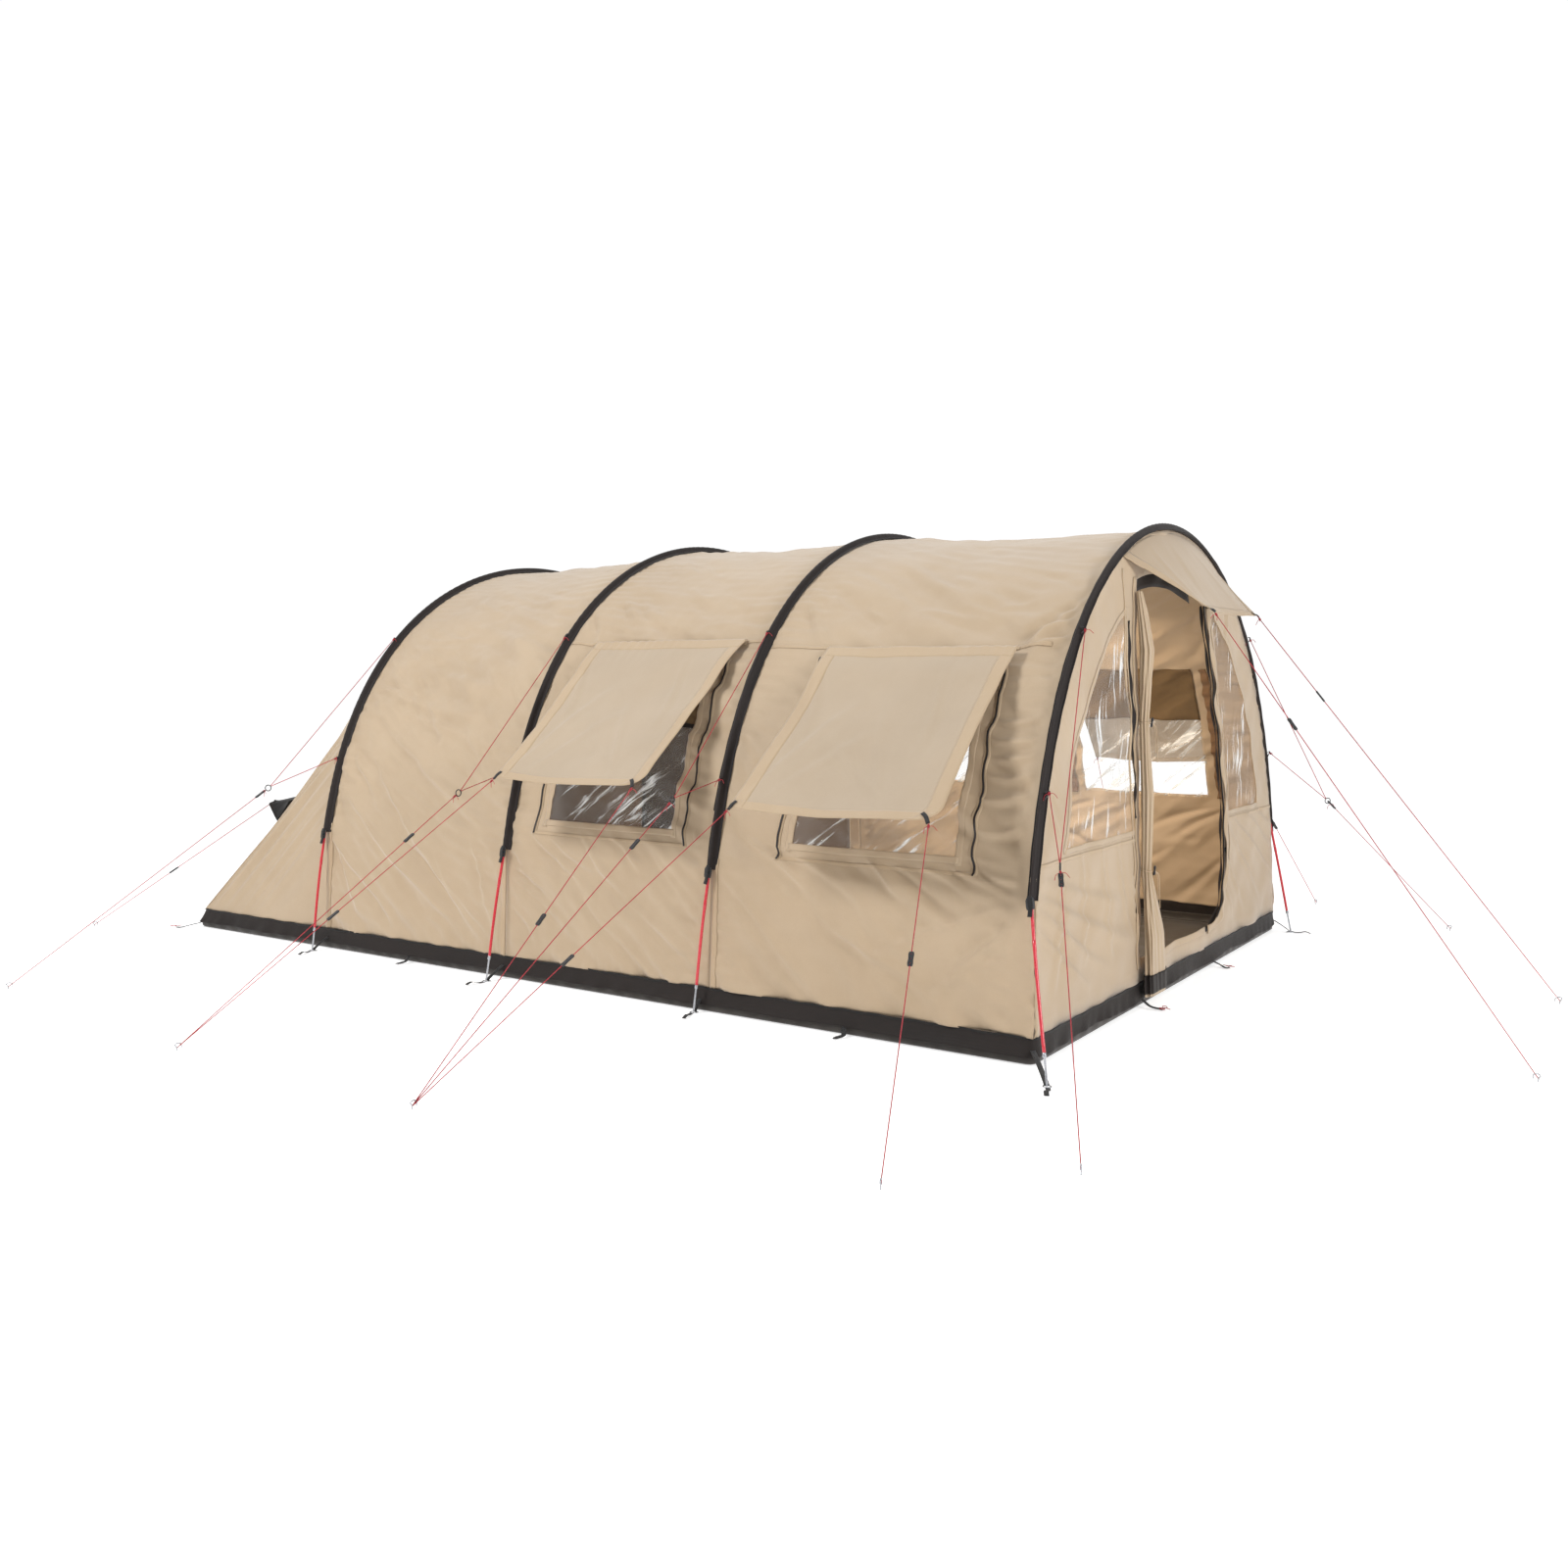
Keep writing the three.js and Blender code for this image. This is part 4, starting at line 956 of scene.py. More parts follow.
def fly_relief(bay, place, s):
    y = place[..., 1]
    whole = TABLES[bay - 1][2][-1]
    left = place[..., 0] < 0
    q = np.where(left, s, whole - s)
    rear, front = HOOPS[bay - 1].y, HOOPS[bay].y
    mirror = np.where(left, y, rear + front - y)
    creases = [(a0, run_of(bay, b0), a1, run_of(bay, b1), 1.5 * w, d) for a0, b0, a1, b1, w, d in CREASES[bay]]
    relief = 2.3 * crease_relief(creases, mirror, q) + drag_lines(bay, mirror, q)
    relief = relief + long_folds(bay, mirror, q) + waves(40 + bay, y, s, steepness=0.007) + waves(50 + bay, y, s, 10, 0.16, 0.06, 0.004)
    ends = np.minimum(np.abs(rear - y), np.abs(y - front))
    seams = puckers(60 + bay, np.abs(rear - y), s, 0.055, 0.12, 0.0050) + puckers(70 + bay, np.abs(y - front), s, 0.070, 0.16, 0.0062)
    calm = 1 - 0.55 * np.clip((place[..., 2] - 1.5) / 0.35, 0, 1)
    relief = (relief * calm + seams) * np.clip((ends - 0.012) / 0.04, 0.0, 1.0)
    relief = relief + puckers(80 + bay, np.abs(place[..., 2] - WALL_BOTTOM), y, 0.045, 0.05, 0.0016)
    return relief


def fly(bay, column, t, lift=0.0):
    """Points of the fly's outside, moved outwards by lift."""
    column, t = np.broadcast_arrays(np.asarray(column, float), np.asarray(t, float))
    base, s = fly_base(bay, column, t)
    e = 2e-3
    across = fly_base(bay, column + e, t)[0] - fly_base(bay, column - e, t)[0]
    down = fly_base(bay, column, t + e)[0] - fly_base(bay, column, t - e)[0]
    out = np.cross(down, across)
    out /= np.linalg.norm(out, axis=-1)[..., None]
    return base + out * (np.asarray(lift) + fly_relief(bay, base, s))[..., None]


def wall_column(side, height):
    return side * (2 - (np.asarray(height, float) - WALL_BOTTOM) / (EAVE - WALL_BOTTOM))


def wall_t(bay, y, height=1.05):
    rear, front = HOOPS[bay - 1].y, HOOPS[bay]
    edge = float(front_y(height)) if front.lean else front.y
    return (np.asarray(y, float) - rear) / (edge - rear)


def on_wall(bay, side, y, height, lift=0.0):
    """Points on a side wall from their y and height."""
    return fly(bay, wall_column(side, height), wall_t(bay, y), lift)


def fine(low, high, step, snaps=()):
    values = list(np.linspace(low, high, max(2, round((high - low) / step) + 1)))
    for snap in snaps:
        nearest = int(np.argmin([abs(v - snap) for v in values]))
        values[nearest] = snap
    return np.array(values)


def outward(obj, side):
    """Turns the faces of a side piece outwards."""
    obj.data.update()
    total = sum((p.normal.x * p.area for p in obj.data.polygons))
    if total * side < 0:
        obj.data.flip_normals()
    return obj


def patch(name, grid, material, side, thickness=0.0012, offset=-1.0, keep=None):
    """A sheet from a grid of points, facing outwards to one side, with its thickness applied."""
    obj = outward(grid_object(name, grid, material, keep), side)
    thicken(obj, thickness, offset)
    return obj


def make_bay(bay):
    snaps_y, snaps_h = [], []
    if bay in WINDOWS:
        rear, front, bottom, top = WINDOWS[bay]
        snaps_y, snaps_h = [float(wall_t(bay, rear)), float(wall_t(bay, front))], [bottom, top]
    t = fine(0, 1, 0.0085, snaps_y)
    heights = fine(WALL_BOTTOM, EAVE, 0.0105, snaps_h)
    low = wall_column(-1, heights)
    column = np.concatenate([low[:-1], np.linspace(-1, 1, 225), -low[::-1][1:]])
    grid = fly(bay, column[None, :], t[:, None])
    keep = np.ones((len(t) - 1, len(column) - 1), bool)
    if bay in WINDOWS:
        mid_t, mid_c = (t[1:] + t[:-1]) / 2, (column[1:] + column[:-1]) / 2
        in_y = (mid_t > snaps_y[0]) & (mid_t < snaps_y[1])
        height = WALL_BOTTOM + (2 - np.abs(mid_c)) * (EAVE - WALL_BOTTOM)
        in_z = (np.abs(mid_c) > 1) & (height > bottom) & (height < top)
        keep[np.ix_(in_y, in_z)] = False
    obj = grid_object(f"fly_bay_{bay}", grid, CANVAS, keep)
    obj.data.update()
    if sum(p.normal.z * p.area for p in obj.data.polygons) < 0:
        obj.data.flip_normals()
    thicken(obj, 0.0012, -1.0)
    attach(obj, TENT)
    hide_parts(f"roof_bay_{bay}")


def wall_strip(name, bay, side, y, heights, width, material, lift=0.0015, thickness=0.0016, wobble=0.0):
    """A vertical strip sewn on a side wall; y is its middle, one number or one per height."""
    heights = np.asarray(heights, float)
    middle = np.broadcast_to(np.asarray(y, float), heights.shape) + wobble * np.sin(heights * 31) * np.cos(heights * 13)
    offsets = np.linspace(-width / 2, width / 2, 5)
    grid = on_wall(bay, side, middle[:, None] + offsets[None, :], heights[:, None], lift)
    obj = patch(name, grid, material, side, thickness, 0.0)
    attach(obj, TENT)
    return obj


def wall_band(name, bay, side, ys, low, high, material, lift=0.0015, thickness=0.0016):
    """A level strip sewn on a side wall between two heights."""
    heights = np.linspace(low, high, 5)
    grid = on_wall(bay, side, np.asarray(ys)[None, :], heights[:, None], lift)
    obj = patch(name, grid, material, side, thickness, 0.0)
    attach(obj, TENT)
    return obj


def zip_line(name, bay, side, middle, heights, width=0.0085, wobble=0.0, lift=0.004):
    """A zip: its tape, and two rows of coil that stand a little proud."""
    heights = np.asarray(heights)
    tape = wall_strip(name + "_tape", bay, side, middle, heights, 0.026, HEM, lift - 0.0022, 0.0010, wobble)
    y = np.broadcast_to(np.asarray(middle, float), heights.shape) + wobble * np.sin(heights * 31) * np.cos(heights * 13)
    path = on_wall(bay, side, y, heights, lift + 0.001)
    coil = strap(name + "_coil", path, width, 0.003, ZIP, across=(0, 1, 0))
    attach(coil, TENT)
    return coil


def window_set(bay, label, side):
    rear, front, bottom, top = WINDOWS[bay]
    split = 1.185 if bay == 2 else 1.165
    ys = np.linspace(rear + 0.006, front - 0.006, 60)
    tag = f"{bay}_{label}"
    heights = np.linspace(bottom - 0.006, split + 0.006, 44)
    grid = on_wall(bay, side, ys[None, :], heights[:, None], -0.0022)
    # The clear film keeps sharp diagonal creases from being folded away
    flat_y, flat_h = np.broadcast_arrays(ys[None, :], heights[:, None])
    chance = np.random.default_rng(bay)
    folds = []
    for k in range(26):
        y0, h0 = chance.uniform(front, rear), chance.uniform(bottom, split)
        turn = math.radians(chance.normal(-38, 12))
        reach = chance.uniform(0.06, 0.26)
        folds.append((y0, h0, y0 + reach * math.cos(turn), h0 + reach * math.sin(turn), 6, 2.6))
    relief = crease_relief(folds, flat_y, flat_h)
    grid = grid + np.array([side * 0.9, 0, 0.3]) * relief[..., None]
    film = patch(f"film_{tag}", grid, SIDE_FILM, side, 0.0004)
    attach(film, TENT)
    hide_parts(f"side_window_{tag}")
    heights = np.linspace(split - 0.008, top + 0.006, 30)
    mesh = patch(f"mesh_{tag}", on_wall(bay, side, ys[None, :], heights[:, None], -0.0060), MESH, side, 0.0004)
    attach(mesh, TENT)
    bar = wall_band(f"window_bar_{tag}", bay, side, ys, split - 0.010, split + 0.010, BROWN, -0.001, 0.0016)
    # Sewn frame round the opening
    tall = np.linspace(bottom - 0.028, top + 0.028, 60)
    for where, edge in (("rear", rear + 0.010), ("front", front - 0.010)):
        wall_strip(f"frame_{where}_{tag}", bay, side, edge, tall, 0.028, CANVAS, 0.0010, 0.0012)
    wide = np.linspace(rear + 0.012, front - 0.012, 60)
    wall_band(f"frame_low_{tag}", bay, side, wide, bottom - 0.022, bottom + 0.006, CANVAS, 0.0014, 0.0012)
    wall_band(f"frame_top_{tag}", bay, side, wide, top - 0.006, top + 0.022, CANVAS, 0.0014, 0.0012)
    # Zips of the inner blind beside the window, seams, and the ruffled blind strip inside
    for where, y in (("rear", rear + 0.060), ("front", front - 0.070)):
        wobble = 0.009 if (bay, where) == (3, "front") else 0.003
        zip_line(f"zip_{where}_{tag}", bay, side, y, np.linspace(bottom - 0.06, 1.47, 70), wobble=wobble)
        heights = np.linspace(bottom - 0.01, top, 90)
        middle = y + 0.004 * np.sin(heights * 40)
        offsets = np.linspace(-0.02, 0.02, 7)
        ruffle = 0.006 * np.sin(heights * 95)[:, None] * np.linspace(0.2, 1, 7)[None, :]
        inner = on_wall(bay, side, middle[:, None] + offsets[None, :], heights[:, None], -0.012 + ruffle)
        blind = patch(f"blind_{where}_{tag}", inner, BLIND, side, 0.0010, 0.0)
        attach(blind, TENT)
    seam = np.linspace(rear + 0.075, front - 0.085, 60)
    wall_band(f"seam_low_{tag}", bay, side, seam, bottom - 0.064, bottom - 0.050, HEM, 0.0016, 0.0014)


for bay in (1, 2, 3):
    make_bay(bay)
for bay in (2, 3):
    for label, side in SIDES.items():
        window_set(bay, label, side)

# Sewn seams from the sleeve ends down to the skirt, beside each pole's leg
for label, side in SIDES.items():
    for bay, t_end, name in ((1, 0.0, 1), (1, 1.0, 2), (3, 0.0, 3)):
        hoop = HOOPS[name - 1]
        shift = -0.018 if t_end == 0 else 0.018
        strip = wall_strip(f"leg_seam_{name}_{label}", bay, side, hoop.y + shift, np.linspace(WALL_BOTTOM, 0.64, 36), 0.030, HEM, 0.0018, 0.0018)

# ---------------------------------------------------------------- window covers

COVER_HINGES = {2: (0.391, -0.476), 3: (-0.914, -1.775)}


def cover_point(bay, side, u, v, lift=0.0):
    """u runs from the hinge to the tip in metres and v from the rear edge (0) to the front (1)."""
    hinge = JOINTS[f"cover_{bay}_left_swing"]["pos_m"]
    rear, front = COVER_HINGES[bay]
    tip_rear, tip_front = COVER_TIPS[bay]
    length, slope = COVER_LENGTH[bay], COVER_SLOPE[bay]
    share = np.clip(u / length, 0, 1.01)
    y0 = rear + (tip_rear - rear) * share
    y1 = front + (tip_front - front) * share
    corner = 0.085
    over = np.clip(u - (length - corner), 0, corner)
    y1 = y1 + (corner - np.sqrt(corner ** 2 - over ** 2))
    bow_in = 0.016 * np.sin(math.pi * np.clip(share, 0, 1))
    y = y0 - bow_in + (y1 - y0 + 2 * bow_in) * v
    droop = -0.014 * np.sin(math.pi * v) ** 1.0 * share ** 1.4 - 0.012 * np.sin(math.pi * share) * np.sin(math.pi * v)
    folds = [(0.86, 0.03, 0.30, 0.30, 16, 5), (0.88, 0.10, 0.45, 0.46, 18, 4), (0.86, 0.60, 0.30, 0.42, 18, 4),
             (0.88, 0.66, 0.42, 0.20, 16, 4), (0.16, 0.06, 0.52, 0.12, 14, 4), (0.12, 0.62, 0.60, 0.66, 14, 4)]
    width = y0 - y
    relief = crease_relief(folds, u, width) + waves(90 + bay, u, width, 12, 0.6, 0.14, 0.006)
    relief = relief + puckers(93 + bay, u, width, 0.05, 0.07, 0.003)
    normal = droop + relief + lift + 0.009 * np.exp(-((u - 0.14) / 0.09) ** 2)
    x = abs(hinge[0]) + u * math.cos(slope) + normal * math.sin(slope)
    z = hinge[2] - u * math.sin(slope) + normal * math.cos(slope)
    return np.stack(np.broadcast_arrays(x * side, y, z), -1)


def upward(obj):
    obj.data.update()
    if sum(p.normal.z * p.area for p in obj.data.polygons) < 0:
        obj.data.flip_normals()
    return obj


def cover_piece(name, bay, side, us, vs, material, lift, thickness):
    obj = upward(grid_object(name, cover_point(bay, side, us, vs, lift), material))
    thicken(obj, thickness, 0.0)
    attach(obj, f"window_cover_{bay}_{'left' if side < 0 else 'right'}")
    return obj


def make_cover(bay, label, side):
    tag = f"{bay}_{label}"
    length = COVER_LENGTH[bay]
    u = np.linspace(0, length, 76)[:, None]
    v = np.linspace(0, 1, 66)[None, :]
    cloth = cover_piece(f"cover_{tag}", bay, side, u, v, COVER, 0.0, 0.0012)
    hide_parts(f"window_cover_{tag}")
    hem = 0.060
    wide = COVER_HINGES[bay][0] - COVER_HINGES[bay][1]
    bands = [
        cover_piece(f"cover_hem_tip_{tag}", bay, side, np.linspace(length - hem * 0.7, length + 0.001, 7)[:, None], v, HEM, 0.0, 0.0022),
        cover_piece(f"cover_hem_rear_{tag}", bay, side, u, np.linspace(-0.001, hem / wide, 6)[None, :], HEM, 0.0, 0.0022),
        cover_piece(f"cover_hem_front_{tag}", bay, side, u, np.linspace(1 - hem / wide, 1.001, 6)[None, :], HEM, 0.0, 0.0022),
        cover_piece(f"cover_hem_top_{tag}", bay, side, np.linspace(0.0, 0.060, 8)[:, None], v, HEM, 0.0, 0.0026),
    ]
    # Webbing loops at the two corners that the guy lines pull on
    for where, v_at in (("rear", 0.02), ("front", 0.94)):
        corner = cover_corner(bay, where, side)
        inner = cover_point(bay, side, np.array(length - 0.035), np.array(v_at), 0.003)
        path = smooth_path([inner, inner * 0.5 + corner * 0.5 + [0, 0, 0.004], corner + [side * 0.006, 0, -0.003]], 10)
        tab = strap(f"cover_tab_{where}_{tag}", path, 0.016, 0.0022, WEBBING, across=(0, 1, 0))
        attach(tab, f"window_cover_{tag}")
    # The strip that sews the cover to the wall, and its lap over the hinge line
    hinge = JOINTS[f"cover_{bay}_left_swing"]["pos_m"]
    rear, front = COVER_HINGES[bay]
    ys = np.linspace(HOOPS[bay - 1].y - 0.03, HOOPS[bay].y + (0.03 if bay == 2 else 0.06), 90)
    band = wall_band(f"cover_seam_{tag}", bay, side, ys, hinge[2] + 0.004, hinge[2] + 0.022, HEM, 0.0022, 0.0014)
    lap = wall_band(f"cover_lap_{tag}", bay, side, np.linspace(rear + 0.004, front + 0.004, 60), hinge[2] - 0.004, hinge[2] + 0.016, HEM, 0.0045, 0.0020)


for bay in (2, 3):
    for label, side in SIDES.items():
        make_cover(bay, label, side)

# ---------------------------------------------------------------- tail and its vents

RIDGE_HEIGHT = 1.080
SIDE_RUN = 0.35
TAIL_SLACK = 0.018
ARCH_STEPS = 22
TAIL_COLUMNS = ARCH_STEPS + 3
COWL = {"width": 0.220, "drop": 0.150, "depth": 0.120, "column": 5.1, "t": 0.48, "clear": 0.020}


def tail_y(z):
    top = HOOPS[0].height - SKIN_INSET
    return REAR + (HOOPS[0].y - REAR) * z / top


def tail_outline():
    arch, _ = HOOPS[0].arch(SKIN_INSET, SLEEVE_END, ARCH_STEPS * 12 + 1)
    foot = TABLES[0][0][0]
    column = np.concatenate([[0], 1 + np.arange(len(arch)) / 12, [ARCH_STEPS + 2]])
    points = np.concatenate([[foot], arch, [foot * [-1, 1]]])
    return column, points


def tail_base(column, t):
    """A point of the tail: column counts along the hoop's outline, t runs from hoop to ground."""
    known, points = tail_outline()
    last = TAIL_COLUMNS - 1
    ridge = 1 + int(np.argmax(np.interp(np.arange(1, 12), known, points[:, 1]) > RIDGE_HEIGHT))
    x, z = np.interp(column, known, points[:, 0]), np.interp(column, known, points[:, 1])
    corner = -points[0, 0]
    across = np.clip((column - ridge) / (last - 2 * ridge), 0, 1)
    down = np.clip(np.minimum(column, last - column) / ridge, 0, 1)
    start = HOOPS[0].y
    end = start + (tail_y(WALL_BOTTOM) - start) * (SIDE_RUN + (1 - SIDE_RUN) * down)
    slack = TAIL_SLACK * np.sin(math.pi * t) * np.clip(np.minimum(across, 1 - across) * 14, 0, 1)
    place = np.stack(np.broadcast_arrays(x + (corner * (2 * across - 1) - x) * t, start + (end - start) * t,
                                         z + (WALL_BOTTOM - z) * t - slack), -1)
    return place, across, down


def tail(column, t, lift=0.0, relief=True):
    column, t = np.broadcast_arrays(np.asarray(column, float), np.asarray(t, float))
    base, across, down = tail_base(column, t)
    e = 0.02
    side = tail_base(column + e, t)[0] - tail_base(column - e, t)[0]
    drop = tail_base(column, np.minimum(t + e, 1))[0] - tail_base(column, np.maximum(t - e, 0))[0]
    out = np.cross(drop, side)
    length = np.linalg.norm(out, axis=-1)[..., None]
    out = out / np.maximum(length, 1e-9)
    bump = 0.0
    if relief:
        middle = np.minimum(column, TAIL_COLUMNS - 1 - column)
        near_ridge = np.exp(-((middle - 5.2) / 3.6) ** 2)
        fan = np.sin(middle * 8.3 + 0.9 * np.sin(middle * 2.3)) + 0.6 * np.sin(middle * 14.1 + 1.3 * np.sin(middle * 3.1))
        bump = 0.011 * near_ridge * fan * np.sin(math.pi * np.clip(t, 0, 1)) ** 0.8
        bump = bump + waves(21, base[..., 0], base[..., 2] * 1.2 + base[..., 1], 14, 0.6, 0.16, 0.006) * np.sin(math.pi * t)
        bump = bump + puckers(22, t * 1.2, column * 0.2, 0.06, 0.12, 0.003)
    return base + out * (np.asarray(lift) + bump)[..., None]


tail_cloth = grid_object("tail_cloth", tail(np.linspace(0, TAIL_COLUMNS - 1, 361)[None, :], np.linspace(0, 1, 80)[:, None]), CANVAS)
tail_cloth.data.update()
if sum(p.normal.y * p.area for p in tail_cloth.data.polygons) < 0:
    tail_cloth.data.flip_normals()
thicken(tail_cloth, 0.0012, -1.0)
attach(tail_cloth, TENT)
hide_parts("tail_panel")


def tail_strip(name, column, ts, width, material, lift=0.002):
    """A narrow strip that follows the tail from its hoop to the ground."""
    middle = tail(column, ts, lift)
    offset = tail(column + 0.15, ts, lift) - tail(column - 0.15, ts, lift)
    length = np.linalg.norm(offset, axis=1)[:, None]
    offset = offset / np.maximum(length, 1e-6)
    grid = np.stack([middle + offset * w for w in np.linspace(-width / 2, width / 2, 4)], 1)
    obj = grid_object(name, grid, material)
    obj.data.update()
    if sum(p.normal.y * p.area for p in obj.data.polygons) < 0:
        obj.data.flip_normals()
    thicken(obj, 0.002, 0.0)
    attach(obj, TENT)
    return obj


for label, side in SIDES.items():
    ridge_column = 4.0 if side < 0 else TAIL_COLUMNS - 5.0
    tail_strip(f"tail_ridge_seam_{label}", ridge_column, np.linspace(0.02, 0.97, 60), 0.016, HEM)
for k, column in enumerate((8.6, 15.4)):
    tail_strip(f"tail_seam_{k}", column, np.linspace(0.01, 0.985, 60), 0.014, HEM)


def cowl_axes(side):
    column = COWL["column"] if side < 0 else TAIL_COLUMNS - 1 - COWL["column"]
    at = tail(column, COWL["t"], relief=False)
    down = unit(tail(column, COWL["t"] + 0.12, relief=False) - at)
    along = tail(column + 0.6, COWL["t"], relief=False) - tail(column - 0.6, COWL["t"], relief=False)
    out = unit(np.cross(along, down))
    across = unit(np.cross(down, out))
    return at + out * COWL["clear"], across, down, out


def vent(label, side):
    """A hooded vent: a black cloth hood over a batten, with mesh in its mouth."""
    at, across, down, out = cowl_axes(side)
    if out[1] < 0:
        out, across = -out, across
    w, drop, depth = COWL["width"], COWL["drop"], COWL["depth"]
    a = np.linspace(-1, 1, 29)[None, :]
    b = np.linspace(0, 1, 19)[:, None]
    arch = np.clip(1.5 * (1 - np.abs(a)), 0, 1) ** 0.9
    half = w / 2 * (1 - 0.10 * b)
    height = depth * b * arch + 0.003 + 0.0015 * np.sin(a * 19 + b * 8) * b
    grid = at + across * (a * half)[..., None] + down * (b * drop + 0 * a)[..., None] + out * height[..., None]
    hood = grid_object(f"vent_hood_{label}", grid, BLACK)
    hood.data.update()
    if sum(p.normal.dot(Vector(out)) * p.area for p in hood.data.polygons) < 0:
        hood.data.flip_normals()
    thicken(hood, 0.0016, -1.0)
    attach(hood, TENT)
    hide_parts(f"vent_cowl_{label}")
    # The mesh that closes the mouth leans back from the hood's edge
    b = np.linspace(0, 1, 9)[:, None]
    height = depth * arch * (1 - b) + 0.002
    back = drop - 0.006 - 0.05 * b
    grid = at + across * (a * w / 2 * 0.9)[..., None] + down * (back + 0 * a)[..., None] + out * height[..., None]
    mouth = grid_object(f"vent_mesh_{label}", grid, CABIN_MESH)
    thicken(mouth, 0.0006, 0.0)
    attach(mouth, TENT)
    # A bound edge over the bent batten, and the webbing tab that the guy line pulls
    edge = at + across * (a[0] * w / 2 * 0.9)[:, None] + down * drop + out * (depth * arch[0] + 0.004)[:, None]
    batten = tube(f"vent_batten_{label}", edge, 0.0032, WEBBING, sides=8)
    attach(batten, TENT)
    tip, _ = cowl_tip(side)
    crown = at + down * drop + out * depth
    tab = strap(f"vent_tab_{label}", smooth_path([crown - down * 0.02, crown, np.asarray(tip)], 9), 0.014, 0.002, WEBBING, across=across)
    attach(tab, TENT)
    # Flanges sewn to the tail round the hood
    b = np.linspace(-0.06, 1.08, 20)
    for k, edge_side in enumerate((-1, 1)):
        mid = at + across * (edge_side * (w / 2 + 0.006)) + 0
        path = mid[None, :] + down * (b * drop)[:, None] - out * 0.007
        flange = strap(f"vent_flange_{k}_{label}", path, 0.024, 0.0016, BLACK, across=across)
        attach(flange, TENT)


for label, side in SIDES.items():
    vent(label, side)

# ---------------------------------------------------------------- front wall

DOOR = {"left": -0.500, "right": 0.690, "sill": 0.185, "top": 1.790}
FRONT_INSET = 0.0034
FRONT_WINDOWS = {"left": (0.740, (-0.612, 1.690), (-0.520, 0.740)), "right": (0.712, (0.545, 1.705), (0.718, 0.712))}


def bezier(p, count):
    t = np.linspace(0, 1, count)[:, None]
    p = [np.array(q, float) for q in p]
    if len(p) == 3:
        return (1 - t) ** 2 * p[0] + 2 * t * (1 - t) * p[1] + t * t * p[2]
    return (1 - t) ** 3 * p[0] + 3 * t * (1 - t) ** 2 * p[1] + 3 * t * t * (1 - t) * p[2] + t ** 3 * p[3]


def door_edges():
    """The door opening: its sewn edge, top, zipped edge and sill, as [x, z]."""
    left = np.linspace((DOOR["left"], DOOR["sill"]), (DOOR["left"], DOOR["top"]), 74)
    top = bezier([(DOOR["left"], DOOR["top"]), (-0.060, 1.905), (0.400, 1.715)], 44)
    zipped = np.concatenate([bezier([(0.400, 1.715), (0.500, 1.450), (0.700, 0.950), (0.690, 0.560)], 60)[:-1],
                             bezier([(0.690, 0.560), (0.680, 0.300), (0.600, 0.185), (0.380, 0.185)], 30)])
    sill = np.linspace((0.380, DOOR["sill"]), (DOOR["left"], DOOR["sill"]), 40)
    return left, top, zipped, sill


def front_window_loop(label):
    side = SIDES[label]
    bottom, inner_top, inner_foot = FRONT_WINDOWS[label]
    points, _ = HOOPS[3].arch(SKIN_INSET + 0.215, bottom, 240)
    keep = points[(points[:, 0] < -abs(inner_top[0])) & (points[:, 1] > bottom + 0.012)]
    curve = keep * [-side, 1]
    top = (inner_top[0], curve[-1][1])
    inner = np.linspace(top, inner_foot, 46)[1:-1]
    base = np.linspace(inner_foot, (curve[0][0], bottom), 36)[:-1]
    curve = curve[:: max(1, len(curve) // 56)]
    ridge = np.linspace(curve[-1], top, 12)[1:]
    return np.concatenate([[(curve[0][0], bottom)], curve, ridge, inner, base[1:]])


def front_relief(x, z):
    """Folds of the front wall, towards the front."""
    left = [(-1.60, 0.60, -0.52, 0.28, 16, 7), (-1.59, 0.56, -0.80, 0.20, 14, 6), (-1.60, 0.50, -1.05, 0.18, 12, 6),
            (-1.58, 0.66, -0.62, 0.46, 15, 5), (-1.30, 0.73, -1.42, 0.22, 12, 6), (-1.12, 0.73, -1.10, 0.26, 14, 5),
            (-0.94, 0.73, -0.82, 0.24, 13, 6), (-0.75, 0.73, -0.60, 0.30, 12, 6), (-0.60, 0.70, -0.53, 0.22, 9, 6),
            (-0.66, 1.62, -0.55, 0.85, 9, 4), (-1.50, 1.15, -1.36, 0.80, 9, 4)]
    right = [(0.80, 0.66, 1.30, 0.20, 14, 6), (0.86, 0.70, 1.56, 0.30, 14, 6), (1.02, 0.70, 1.58, 0.46, 13, 5),
             (0.76, 0.52, 1.02, 0.18, 13, 6), (1.24, 0.70, 1.58, 0.58, 11, 5), (0.72, 0.40, 0.84, 0.18, 10, 5),
             (0.74, 1.55, 0.86, 1.80, 10, 4), (0.62, 1.55, 0.50, 1.80, 9, 4)]
    folds = crease_relief(left + right, x, z)
    edge = np.abs(np.abs(x) - np.interp(z, TABLES[3][0][:TABLES[3][1], 1], -TABLES[3][0][:TABLES[3][1], 0]))
    fade = np.clip(edge / 0.05, 0, 1)
    return (2.0 * folds + waves(31, x, z, 14, 0.55, 0.14, 0.009)) * fade + puckers(32, edge, x + z, 0.055, 0.10, 0.004)


def on_front(points, lift=0.0, relief=1.0):
    points = np.asarray(points, float)
    x, z = points[..., 0], points[..., 1]
    return np.stack([x, front_y(z) - lift - relief * front_relief(x, z), z], -1)


